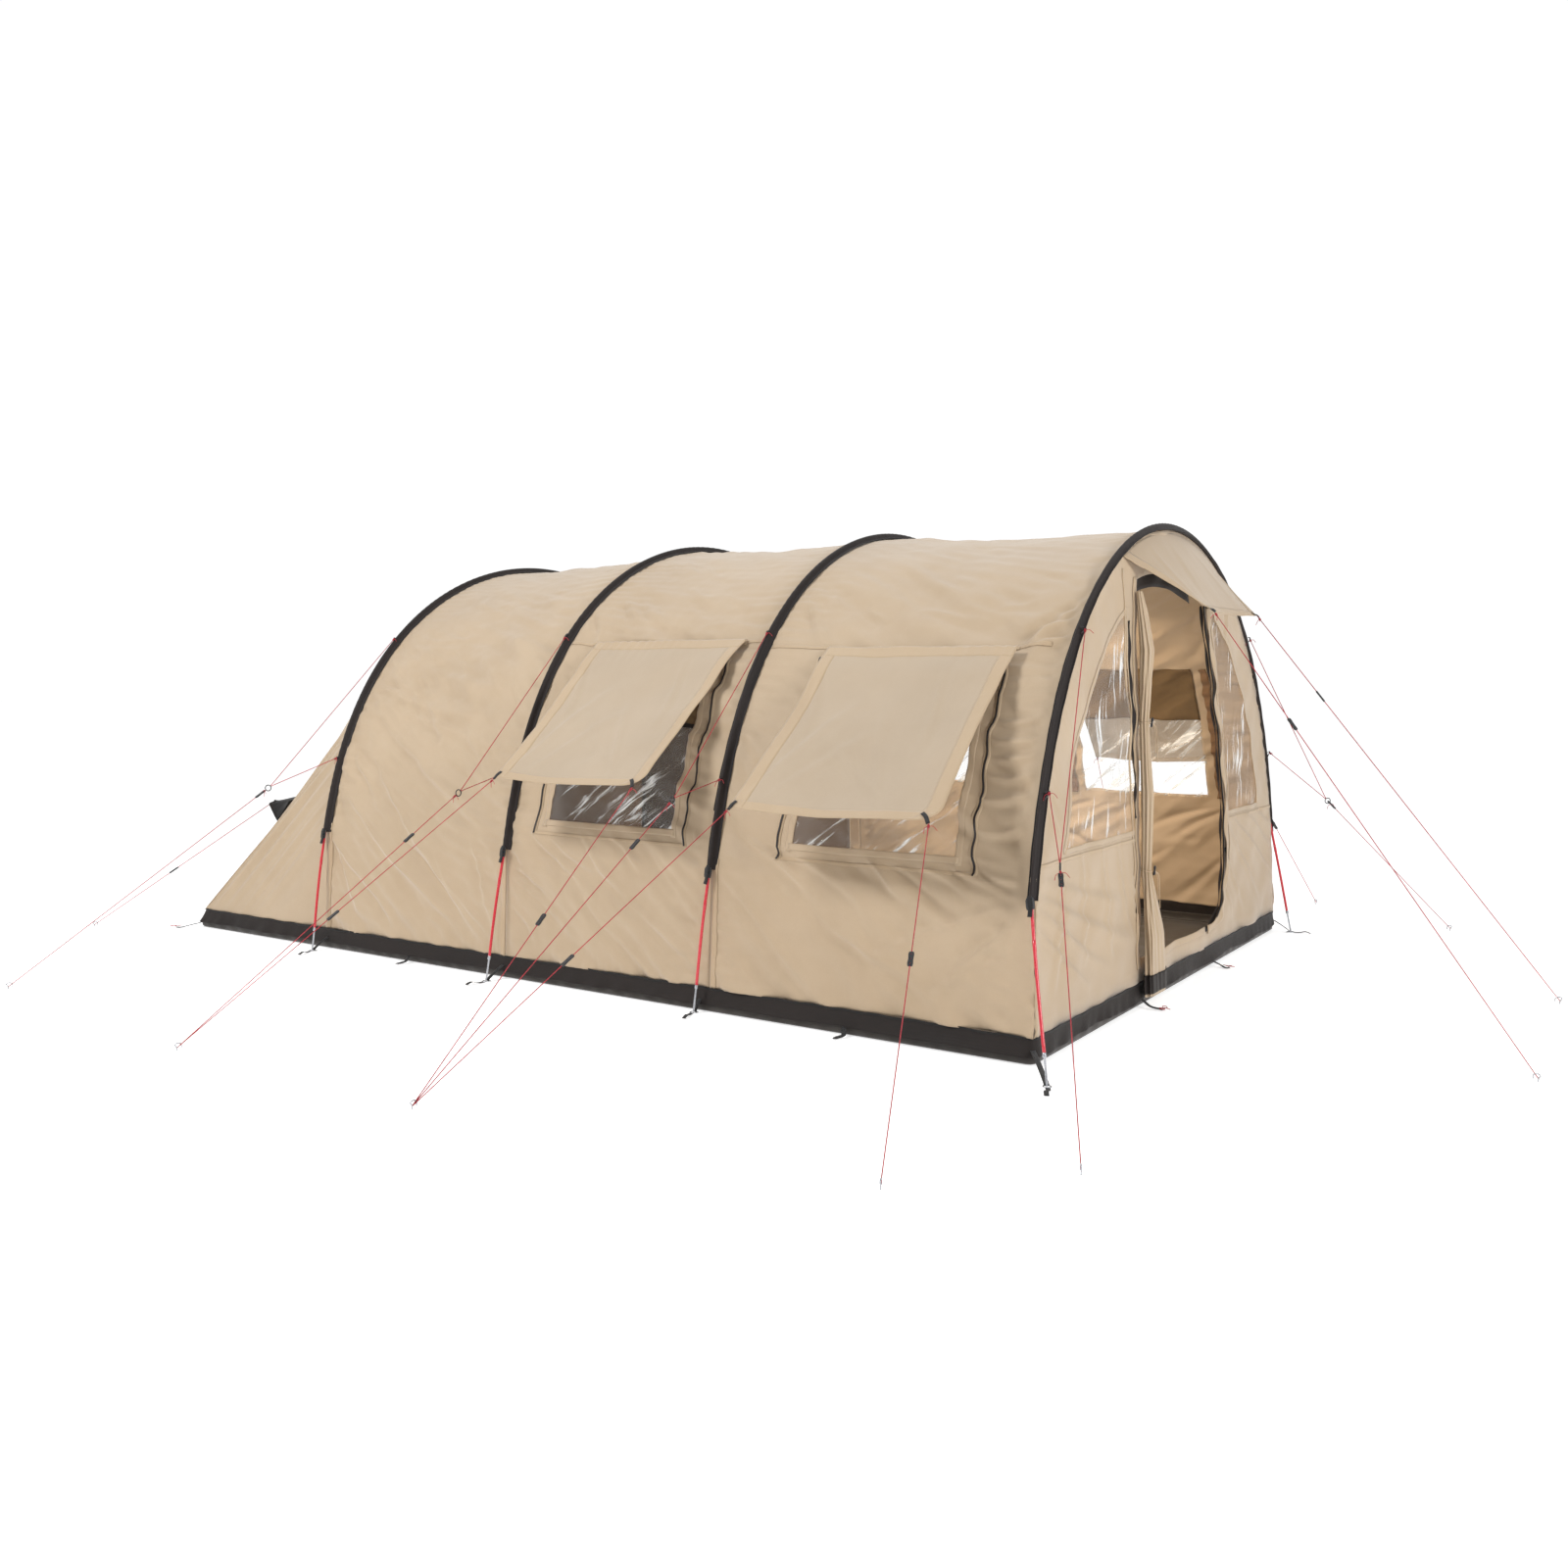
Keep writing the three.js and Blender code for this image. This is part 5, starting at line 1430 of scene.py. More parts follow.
def make_front():
    from mathutils.geometry import delaunay_2d_cdt
    outline = HOOPS[3].skin(FRONT_INSET, WALL_BOTTOM)
    step = np.concatenate([[0], np.cumsum(np.linalg.norm(np.diff(outline, axis=0), axis=1))])
    fine_s = np.linspace(0, step[-1], 230)
    arch = np.stack([np.interp(fine_s, step, outline[:, k]) for k in (0, 1)], 1)
    base = np.linspace(arch[-1], arch[0], 130)[1:-1]
    outer = np.concatenate([arch, base])[::-1]
    door = np.concatenate([part[:-1] for part in door_edges()])
    windows = [front_window_loop(label) for label in SIDES]
    loops = [outer, door] + windows
    points, edges = [], []
    for loop in loops:
        first = len(points)
        points += [tuple(p) for p in loop]
        edges += [(first + i, first + (i + 1) % len(loop)) for i in range(len(loop))]

    def distance(samples, loop):
        a, b = loop, np.roll(loop, -1, axis=0)
        best = np.full(len(samples), 9.0)
        for p, q in zip(a, b):
            d = q - p
            t = np.clip(((samples - p) @ d) / max(d @ d, 1e-12), 0, 1)
            best = np.minimum(best, np.linalg.norm(samples - p - t[:, None] * d, axis=1))
        return best

    rows = []
    for r, z in enumerate(np.arange(0.16, 2.05, 0.0165)):
        rows += [(x, z) for x in np.arange(-1.65 + 0.0095 * (r % 2), 1.65, 0.019)]
    samples = np.array(rows)
    clear = np.min([distance(samples, loop) for loop in loops], axis=0)
    samples = samples[clear > 0.009]
    points += [tuple(p) for p in samples]
    result = delaunay_2d_cdt([Vector(p) for p in points], edges, [], 2, 1e-6)
    flat = np.array([tuple(v) for v in result[0]])
    faces = []
    mids = np.array([flat[list(f)].mean(axis=0) for f in result[2]])

    def inside(loop, spots):
        hit = np.zeros(len(spots), bool)
        for (x0, z0), (x1, z1) in zip(loop, np.roll(loop, -1, axis=0)):
            crosses = (z0 > spots[:, 1]) != (z1 > spots[:, 1])
            with np.errstate(divide="ignore", invalid="ignore"):
                cut = (x1 - x0) * (spots[:, 1] - z0) / (z1 - z0) + x0
            hit ^= crosses & (spots[:, 0] < cut)
        return hit

    keep = inside(outer, mids)
    for loop in [door] + windows:
        keep &= ~inside(loop, mids)
    faces = [f for f, k in zip(result[2], keep) if k]
    wall = new_mesh("front_cloth", on_front(flat), faces, CANVAS)
    drop_loose(wall)
    wall.data.update()
    if sum(p.normal.y * p.area for p in wall.data.polygons) > 0:
        wall.data.flip_normals()
    thicken(wall, 0.0012, -1.0)
    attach(wall, TENT)
    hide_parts("front_wall")
    # Clear windows, with upright creases, in sewn frames
    for (label, side), loop in zip(SIDES.items(), windows):
        low, high = loop.min(axis=0), loop.max(axis=0)
        rows = []
        for r, z in enumerate(np.arange(low[1], high[1], 0.0115)):
            rows += [(x, z) for x in np.arange(low[0] + 0.006 * (r % 2), high[0], 0.012)]
        samples = np.array(rows)
        samples = samples[inside(loop, samples)]
        samples = samples[distance(samples, loop) > 0.006]
        grown = loop + (loop - loop.mean(axis=0)) * 0.012
        count = len(grown)
        result = delaunay_2d_cdt([Vector(p) for p in list(grown) + list(samples)], [(i, (i + 1) % count) for i in range(count)], [], 1, 1e-6)
        flat = np.array([tuple(v) for v in result[0]])
        chance = np.random.default_rng(7 if side < 0 else 8)
        folds = []
        for k in range(46 if side < 0 else 34):
            x0, z0 = chance.uniform(low[0], high[0]), chance.uniform(low[1], high[1])
            turn = math.radians(chance.normal(96 if side < 0 else 84, 16))
            reach = chance.uniform(0.10, 0.42)
            folds.append((x0, z0, x0 + reach * math.cos(turn), z0 + reach * math.sin(turn), 8, 4.0))
        film = on_front(flat, -0.003)
        film[:, 1] -= crease_relief(folds, flat[:, 0], flat[:, 1])
        pane = new_mesh(f"front_film_{label}", film, result[2], FRONT_FILM)
        thicken(pane, 0.0004, 0.0)
        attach(pane, TENT)
        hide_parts(f"front_window_{label}")
        ring_points = np.concatenate([loop, loop[:1]])
        frame_band = front_strip(f"front_frame_{label}", ring_points, 0.020, CANVAS, 0.0012, closed=True, thickness=0.0012)


def front_strip(name, path, width, material, lift, closed=False, thickness=0.0022, wave=0.0, relief=1.0):
    """A strip sewn on the front wall along a path of [x, z]."""
    path = np.asarray(path, float)
    if closed:
        path = path[:-1]
        tangent = np.roll(path, -1, axis=0) - np.roll(path, 1, axis=0)
    else:
        tangent = np.gradient(path, axis=0)
    tangent /= np.maximum(np.linalg.norm(tangent, axis=1), 1e-9)[:, None]
    side = np.stack([-tangent[:, 1], tangent[:, 0]], 1)
    count = np.arange(len(path))
    offsets = np.linspace(-width / 2, width / 2, 5)
    grid = np.stack([on_front(path + side * w, lift + wave * math.sin(w / width * 3) * np.sin(count * 0.5), relief) for w in offsets], 1)
    if closed:
        grid = np.concatenate([grid, grid[:1]])
    obj = grid_object(name, grid, material)
    obj.data.update()
    if sum(p.normal.y * p.area for p in obj.data.polygons) > 0:
        obj.data.flip_normals()
    thicken(obj, thickness, 0.0)
    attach(obj, TENT)
    return obj


make_front()
left_edge, top_edge, zip_edge, sill_edge = door_edges()

# Zip tape, coil and rain flap round the door's free edge, and the bound edge of the rest
whole_zip = np.concatenate([top_edge[:-1], zip_edge])
tape = front_strip("door_zip_tape", zip_edge + [0.004, 0.0], 0.016, BROWN, 0.003, thickness=0.0018)
coil_path = on_front(zip_edge, 0.006)
coil = strap("door_zip_coil", coil_path, 0.006, 0.0035, ZIP, across=(1, 0, 0))
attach(coil, TENT)
turn = np.arange(len(zip_edge))
shift = np.stack([0.040 + 0.010 * np.sin(turn * 0.42) + 0.005 * np.sin(turn * 0.9), 0 * turn], 1)
flap = front_strip("door_rain_flap", zip_edge + shift, 0.042, HEM, 0.008, wave=0.005, thickness=0.0016)
# A dark brown strip just behind the door's zipped edge, from the top of that edge down round its curve to the sill
inner_dark_strip = front_strip("door_edge_dark_strip", zip_edge - [0.006, 0.0], 0.022, BROWN, -0.008, wave=0.003)
second = np.stack([zip_edge[:, 0] + 0.095 - 0.03 * np.clip((0.6 - zip_edge[:, 1]) / 0.4, 0, 1), zip_edge[:, 1]], 1)
second = second[second[:, 1] > 0.24]
outer_seam = front_strip("door_outer_seam", second[:-6], 0.012, HEM, 0.0022, thickness=0.0016)
top_band = front_strip("door_top_band", top_edge[:36] - [0.0, 0.018], 0.075, BROWN, -0.010, wave=0.004)
sill_band = front_strip("door_sill_band", sill_edge, 0.034, HEM, 0.003)
dark = front_strip("window_zip_strip", np.linspace((-0.535, 0.80), (-0.592, 1.62), 70), 0.020, BROWN, 0.0035, wave=0.003)
post = front_strip("door_post_strip", np.linspace((-0.520, 0.16), (-0.520, 1.80), 90), 0.044, HEM, 0.003)
window_post = front_strip("window_post_seam", np.linspace((-0.470, 0.16), (-0.585, 1.83), 70) - [0.06, 0], 0.012, HEM, 0.0020)
for label, side in SIDES.items():
    path = np.linspace((side * 1.54, FRONT_WINDOWS[label][0] - 0.03), (-0.53 if side < 0 else 0.73, FRONT_WINDOWS[label][0] - 0.03), 60)
    band = front_strip(f"front_seam_{label}", path, 0.014, HEM, 0.0018)


def door_roll():
    """The opened door: gathered to its sewn edge, held by two toggles, flaring at the foot."""
    zs = np.linspace(0.040, 1.745, 190)
    turn = np.linspace(0, 2 * np.pi, 96, endpoint=False)
    half = np.interp(zs, [0.04, 0.16, 0.35, 0.50, 0.58, 0.68, 0.9, 1.12, 1.20, 1.30, 1.5, 1.66, 1.745],
                     [0.112, 0.104, 0.076, 0.038, 0.020, 0.026, 0.030, 0.026, 0.020, 0.030, 0.044, 0.034, 0.014])
    depth = np.interp(zs, [0.04, 0.3, 0.58, 0.9, 1.2, 1.5, 1.745], [0.018, 0.026, 0.017, 0.022, 0.016, 0.024, 0.010])
    centre = -0.528 + half - 0.004 * np.clip((zs - 1.2) / 0.55, 0, 1)
    grid = []
    for k, z in enumerate(zs):
        gather = min(abs(z - 0.58), abs(z - 1.20), 0.4)
        tight = math.exp(-(gather / 0.05) ** 2)
        pleats = 0.5 + 0.32 * tight
        a = turn + 0.35 * math.sin(z * 3.1)
        loose = min(1.0, max(0.0, (0.5 - z) / 0.3))
        edge = 1 + pleats * 0.26 * ((1 - loose) * np.sin(9 * a + 1.5 * np.sin(z * 7)) + loose * np.sin(5 * a + 2 * z)) + 0.06 * np.sin(17 * a + z * 9)
        x = centre[k] + half[k] * np.cos(turn) * edge
        y = float(front_y(z)) - depth[k] * 1.25 - 0.014 + depth[k] * np.sin(turn) * edge
        grid.append(np.stack([x, y, np.full_like(x, z)], 1))
    grid = np.array(grid)
    count = len(turn)
    faces = grid_faces(len(zs), count, closed=True)
    faces.append(tuple(range(count - 1, -1, -1)))
    faces.append(tuple((len(zs) - 1) * count + i for i in range(count)))
    roll = new_mesh("door_roll", grid.reshape(-1, 3), faces, CANVAS)
    work = add_modifier(roll, "SUBSURF", levels=1, render_levels=1)
    roll.data.update()
    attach(roll, TENT)
    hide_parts("door_bundle")
    # Cords round it and the toggles that hold them
    for k, z in enumerate((0.58, 1.20)):
        index = int(np.argmin(np.abs(zs - z)))
        ring_path = grid[index].copy()
        middle = ring_path.mean(axis=0)
        ring_path = middle + (ring_path - middle) * 1.10
        ring_path[:, 2] += 0.006 * np.sin(turn)
        belt = tube(f"toggle_loop_{k}", np.concatenate([ring_path[::4], ring_path[:1]]), 0.0022, CORD_BEIGE, sides=7)
        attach(belt, TENT)
        y = ring_path[:, 1].min() - 0.006
        bar = tube(f"toggle_bar_{k}", np.linspace((middle[0] + 0.012, y, z - 0.020), (middle[0] + 0.020, y - 0.002, z + 0.020), 9),
                   0.0056 * np.array([0.55, 0.9, 1, 0.85, 0.7, 0.85, 1, 0.9, 0.55]), PLASTIC, sides=12)
        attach(bar, TENT)
        for j, lean in enumerate((-1, 1)):
            start = np.array([middle[0] + 0.016, y, z])
            points = [start, start + [0.030 * (1 + 0.3 * lean), -0.006, -0.022], start + [0.052 + 0.010 * lean, -0.004, -0.085], start + [0.060 + 0.012 * lean, -0.004, -0.150 - 0.02 * lean]]
            end = tube(f"toggle_tail_{k}_{j}", smooth_path(points, 16), 0.0018, CORD_BEIGE, sides=7)
            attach(end, TENT)
    # The dark band and the hem of the door panel, showing at the foot
    low = grid[:14]
    middle = low.mean(axis=1, keepdims=True)
    band_grid = middle + (low - middle) * 1.06
    band_grid = np.concatenate([band_grid, band_grid[:, :1]], axis=1)
    band = grid_object("door_foot_band", band_grid[2:12], BROWN)
    thicken(band, 0.0014, 1.0)
    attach(band, TENT)


door_roll()


def zip_puller():
    low, high = (np.array(c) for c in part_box("door_zip_slider"))
    middle, size = (low + high) / 2, high - low
    body = plate_with_holes("zip_slider", oval(0, 0, 0.0052, 0.0085, 24), [], 0.0062, 0.0016, PLASTIC)
    place_on(body, middle + [0, 0, 0.004], (1, 0, 0), (0, 0.037, 1))
    body.data.shade_smooth()
    tag = plate_with_holes("zip_tag", [(-0.0028, 0.0), (0.0028, 0.0), (0.0038, -0.018), (0.0, -0.021), (-0.0038, -0.018)],
                           [oval(0, -0.0150, 0.0013, 0.0013, 12)], 0.0020, 0.0005, PLASTIC)
    place_on(tag, middle + [0, -0.0035, 0.001], (1, 0, 0), (0, 0.037, 1))
    both = join_pieces("zip_slider", [body, tag])
    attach(both, "door_zip_slider")
    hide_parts("door_zip_slider")


zip_puller()


def make_awning():
    points, _ = HOOPS[3].arch(SKIN_INSET + 0.012, SLEEVE_END, 400)
    seam = points[np.abs(points[:, 0]) < 0.640]
    pick = np.linspace(0, len(seam) - 1, 84)
    seam = np.stack([np.interp(pick, np.arange(len(seam)), seam[:, k]) for k in (0, 1)], 1)
    t = np.linspace(0, 1, 48)[:, None]
    v = np.linspace(-1, 1, 84)[None, :]
    tip_x = 0.330 * v
    seam_y = front_y(seam[:, 1])[None, :] - 0.002
    x = seam[None, :, 0] + (tip_x - seam[None, :, 0]) * t
    y = seam_y + (-2.250 - seam_y) * t
    z = seam[None, :, 1] + (1.668 - seam[None, :, 1]) * t
    # The side edges are pulled into a hollow curve, and the front edge hangs between its corners
    hollow = 1 - 0.085 * np.sin(math.pi * t) * np.abs(v) ** 3
    x = x * hollow
    z = z - 0.010 * np.sin(math.pi * t) * (1 - v ** 2) - 0.010 * t ** 3 * (1 - v ** 2)
    y = y + 0.030 * t ** 3 * (1 - v ** 2)
    folds = [(-0.9, 0.05, -0.98, 0.95, 30, 5), (-0.6, 0.05, -0.9, 0.95, 34, 4), (0.9, 0.05, 0.98, 0.95, 30, 5),
             (0.6, 0.05, 0.9, 0.95, 34, 4), (0.1, 0.1, 0.6, 0.9, 40, 3), (-0.2, 0.1, -0.5, 0.9, 40, 3)]
    z = z + crease_relief(folds, v + 0 * t, t + 0 * v) + waves(33, x, y, 10, 0.4, 0.12, 0.006) * np.clip(t * 8, 0, 1)
    grid = np.stack(np.broadcast_arrays(x, y, z), -1)
    cloth = upward(grid_object("awning_cloth", grid, CANVAS))
    thicken(cloth, 0.0012, -1.0)
    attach(cloth, TENT)
    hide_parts("awning")
    for name, piece in (("front", grid[-5:]), ("left", grid[:, :5]), ("right", grid[:, -5:])):
        band = upward(grid_object(f"awning_hem_{name}", piece, HEM))
        thicken(band, 0.0034, 0.0)
        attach(band, TENT)
    for label, side in SIDES.items():
        corner = grid[-1, 0 if side < 0 else -1]
        line_start = np.array([side * 0.325, -2.255, 1.663])
        inner = corner + np.array([-side * 0.03, 0.035, 0.012])
        tab = strap(f"awning_tab_{label}", smooth_path([inner, corner + [0, 0, 0.003], line_start + [side * 0.002, -0.008, -0.004]], 9), 0.018, 0.0022, WEBBING)
        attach(tab, TENT)


make_awning()

# ---------------------------------------------------------------- poles, sleeves and ground fittings

FEET = {1: ((-1.710, 1.838), (1.710, 1.838)), 2: ((-1.720, 0.598), (1.720, 0.598)),
        3: ((-1.660, -0.545), (1.660, -0.545)), 4: ((-1.819, -2.181), (1.564, -2.142))}
PIN = 0.105         # length of the steel pin under each pole


def make_pole(number):
    hoop = HOOPS[number - 1]
    arch, _ = hoop.arch(0.0, hoop.end, 150)
    arch = np.stack([arch[:, 0], hoop.plane_y(arch[:, 1]), arch[:, 1]], 1)
    ends = []
    for k, (x, y) in enumerate(FEET[number]):
        top = arch[0] if k == 0 else arch[-1]
        foot = np.array([x, y, 0.003])
        along = unit(foot - top)
        length = np.linalg.norm(foot - top)
        leg = top + along * np.linspace(0, length - PIN, 16)[:, None]
        bow_out = 0.006 * np.sin(math.pi * np.linspace(0, 1, 16))
        leg[:, 0] += (-1 if k == 0 else 1) * bow_out
        ends.append((leg, foot, along))
    path = np.concatenate([ends[0][0][::-1][:-1], arch, ends[1][0][1:]])
    rod = tube(f"pole_rod_{number}", path, 0.00625, POLE_RED, sides=14)
    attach(rod, TENT)
    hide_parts(f"pole_{number}")
    for k, (leg, foot, along) in enumerate(ends):
        label = "left" if k == 0 else "right"
        side = -1 if k == 0 else 1
        end = leg[-1]
        # Joint collars on the leg, where two pole sections meet
        for j, share in enumerate((0.30,)):
            middle = leg[0] + (leg[-1] - leg[0]) * share
            middle[0] += side * 0.006 * math.sin(math.pi * share)
            step = along * 0.004
            collar = tube(f"collar_{number}_{label}_{j}", [middle - 5 * step, middle - 4.6 * step, middle, middle + 4.6 * step, middle + 5 * step],
                          [0.0063, 0.0070, 0.0070, 0.0070, 0.0063], POLE_RED, sides=14)
            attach(collar, TENT)
        # The steel pin steps down in diameter and ends in a ring at the ground
        points = [end - along * 0.012, end - along * 0.010, end + along * 0.004, end + along * 0.006, foot - along * 0.012, foot - along * 0.002]
        pin = tube(f"pin_{number}_{label}", points, [0.0058, 0.0074, 0.0074, 0.0042, 0.0042, 0.0026], STEEL, sides=14)
        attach(pin, TENT)
        # Webbing from the skirt's edge out to the pin, a ring under it, and a peg loop
        wall = np.array([side * (WALL_HALF_WIDTH - 0.002), foot[1] + (0.02 if number == 4 else 0.0), 0.060])
        out = unit([foot[0] - wall[0], foot[1] - wall[1], 0])
        if number == 4:
            wall = np.array([side * (WALL_HALF_WIDTH - 0.012), FRONT + 0.012, 0.058])
            out = unit([foot[0] - wall[0], foot[1] - wall[1], 0])
            if k == 1:
                out = unit([0.3, -1.0, 0])
        around = np.array([-out[1], out[0], 0])
        ring_turn = np.linspace(0, 2 * np.pi, 25)
        ring_path = [np.array([foot[0], foot[1], 0.0046]) + out * 0.014 * math.cos(t) + around * 0.014 * math.sin(t) for t in ring_turn]
        ring = tube(f"foot_ring_{number}_{label}", ring_path, 0.0022, STEEL, sides=8)
        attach(ring, TENT)
        near = np.array([foot[0], foot[1], 0.006]) - out * 0.013
        web_path = smooth_path([wall, wall * 0.55 + near * 0.45 + [0, 0, 0.006], near + out * 0.004, near - out * 0.010 + [0, 0, -0.0035]], 16)
        web = strap(f"foot_webbing_{number}_{label}", web_path, 0.020, 0.0022, WEBBING, across=around)
        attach(web, TENT)
        far = np.array([foot[0], foot[1], 0.0035]) + out * 0.012
        sway = around * (0.022 if number % 2 else -0.018)
        tail_path = smooth_path([far, far + out * 0.03 + sway * 0.3, far + out * 0.062 + sway + [0, 0, 0.008], far + out * 0.088 + sway * 1.2 + [0, 0, 0.0]], 16)
        loop = strap(f"foot_loop_{number}_{label}", tail_path, 0.018, 0.0022, WEBBING, across=around)
        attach(loop, TENT)
        # A buckle where the sleeve ends, with the tail of its webbing
        buckle_at = leg[0] + along * 0.012
        face = np.array([side, 0, 0.0])
        buckle = plate_with_holes(f"buckle_{number}_{label}",
                                  [(-0.014, -0.020), (0.014, -0.020), (0.016, -0.012), (0.016, 0.014), (0.012, 0.022), (-0.012, 0.022), (-0.016, 0.014), (-0.016, -0.012)],
                                  [oval(0, 0.010, 0.009, 0.0032), oval(0, -0.008, 0.009, 0.0032)], 0.0050, 0.0012, PLASTIC)
        place_on(buckle, buckle_at + face * 0.0098, np.cross(-along, face), -along)
        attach(buckle, TENT)
        start = buckle_at + face * 0.013 - along * 0.03
        tail_strap = smooth_path([start, buckle_at + face * 0.016, buckle_at + face * 0.014 + along * 0.022, buckle_at + face * 0.016 + along * 0.048 + [0, 0.004, 0]], 14)
        hang = strap(f"sleeve_webbing_{number}_{label}", tail_strap, 0.018, 0.0018, WEBBING, across=(0, 1, 0))
        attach(hang, TENT)


def make_sleeve(number):
    """A pole sleeve: a hump of cloth over the pole, sewn down along both edges and gathered a little."""
    hoop = HOOPS[number - 1]
    points, normal = hoop.arch(0.0, hoop.end, 460)
    run = np.concatenate([[0], np.cumsum(np.linalg.norm(np.diff(points, axis=0), axis=1))])
    profile = np.array([(-0.0300, -0.0150), (-0.0240, -0.0135), (-0.0185, -0.0120), (-0.0135, -0.0040), (-0.0105, 0.0050), (-0.0050, 0.0100),
                        (0.0000, 0.0112), (0.0050, 0.0100), (0.0105, 0.0050), (0.0135, -0.0040), (0.0185, -0.0120), (0.0240, -0.0135), (0.0300, -0.0150),
                        (0.0150, -0.0163), (0.0, -0.0165), (-0.0150, -0.0163)])
    chance = np.random.default_rng(number)
    phase = chance.random(4) * 6.28
    pucker = 0.0007 * np.sin(run * 150 + 2 * np.sin(run * 11 + phase[0])) * (0.5 + 0.5 * np.sin(run * 5 + phase[1]))
    wide = 1 + 0.05 * np.sin(run * 9 + phase[2]) + 0.04 * np.sin(run * 41 + phase[3])
    grid = []
    for a, b in profile:
        a = a * (0.60 if number == 4 else 0.84)
        hump = max(0.0, b + 0.012) / 0.0232
        out = b + pucker * (0.35 + 0.65 * hump) * (1 if b > -0.016 else 0)
        y = hoop.plane_y(points[:, 1]) + a * wide
        grid.append(np.stack([points[:, 0] + normal[:, 0] * out, y, points[:, 1] + normal[:, 1] * out], 1))
    grid = np.stack(grid, 1)
    sleeve = grid_object(f"sleeve_{number}", grid, SLEEVE, closed=True)
    sleeve.data.update()
    faces = sum((p.normal.z * (p.center.z - 1.0) * p.area for p in sleeve.data.polygons if p.center.z > 1.9))
    thicken(sleeve, 0.0012, 0.0)
    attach(sleeve, TENT)
    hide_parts(f"pole_sleeve_{number}")
    # Binding tape along both sewn edges
    for k, edge in enumerate((0, 12)):
        path = grid[:, edge] + np.stack([normal[:, 0], 0 * run, normal[:, 1]], 1) * 0.0012
        tape = strap(f"sleeve_edge_{number}_{k}", path[::2], 0.006, 0.0016, BLACK, across=(0, 1, 0))
        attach(tape, TENT)
    # Loops that the guy lines are tied to
    for label, side in SIDES.items():
        for height in TIE_HEIGHTS:
            at = tie_point(number, side, height)
            x, z = points[:, 0], points[:, 1]
            index = int(np.argmin(np.abs(z - height) + 9 * (np.sign(x) != side)))
            base = np.array([x[index], hoop.plane_y(z[index]), z[index]]) + np.array([normal[index, 0], 0, normal[index, 1]]) * 0.008
            if number == 4:
                base = base + [0, -0.018, 0]
            away = unit(at - base) if np.linalg.norm(at - base) > 1e-4 else np.array([side, 0, 0])
            path = smooth_path([base - away * 0.002 + [0, 0, 0.012], at * 0.6 + base * 0.4 + [0, 0, 0.008], at + away * 0.004, at * 0.6 + base * 0.4 - [0, 0, 0.008], base - away * 0.002 - [0, 0, 0.012]], 18)
            loop = strap(f"tie_loop_{number}_{label}_{int(height * 100)}", path, 0.010, 0.002, WEBBING, across=(0, 1, 0) if number != 4 else (side, 0, 0.2))
            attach(loop, TENT)


for number in (1, 2, 3, 4):
    make_sleeve(number)
    make_pole(number)

# ---------------------------------------------------------------- skirt and groundsheet


def ground_loop(z, out=0.0, corner=0.03, count=900):
    """The tent's outline at a height, with rounded corners: points, outward directions, and the run."""
    x = WALL_HALF_WIDTH - 0.002 + out
    wall = float(-HOOPS[1].skin(0.0, max(z, 0.01))[0, 0]) + out
    x = wall
    y0, y1 = float(front_y(z)) - out, float(tail_y(z)) + out
    points = []
    for cx, cy, a0 in ((x - corner, y1 - corner, 0), (-x + corner, y1 - corner, 90), (-x + corner, y0 + corner, 180), (x - corner, y0 + corner, 270)):
        for a in np.radians(np.linspace(a0, a0 + 90, 9)):
            points.append((cx + corner * math.cos(a), cy + corner * math.sin(a)))
    points = np.array(points + points[:1])
    run = np.concatenate([[0], np.cumsum(np.linalg.norm(np.diff(points, axis=0), axis=1))])
    s = np.linspace(0, run[-1], count + 1)[:-1]
    place = np.stack([np.interp(s, run, points[:, k]) for k in (0, 1)], 1)
    ahead = np.stack([np.interp((s + 0.01) % run[-1], run, points[:, k]) for k in (0, 1)], 1)
    behind = np.stack([np.interp((s - 0.01) % run[-1], run, points[:, k]) for k in (0, 1)], 1)
    tangent = ahead - behind
    tangent /= np.linalg.norm(tangent, axis=1)[:, None]
    return place, np.stack([tangent[:, 1], -tangent[:, 0]], 1), s


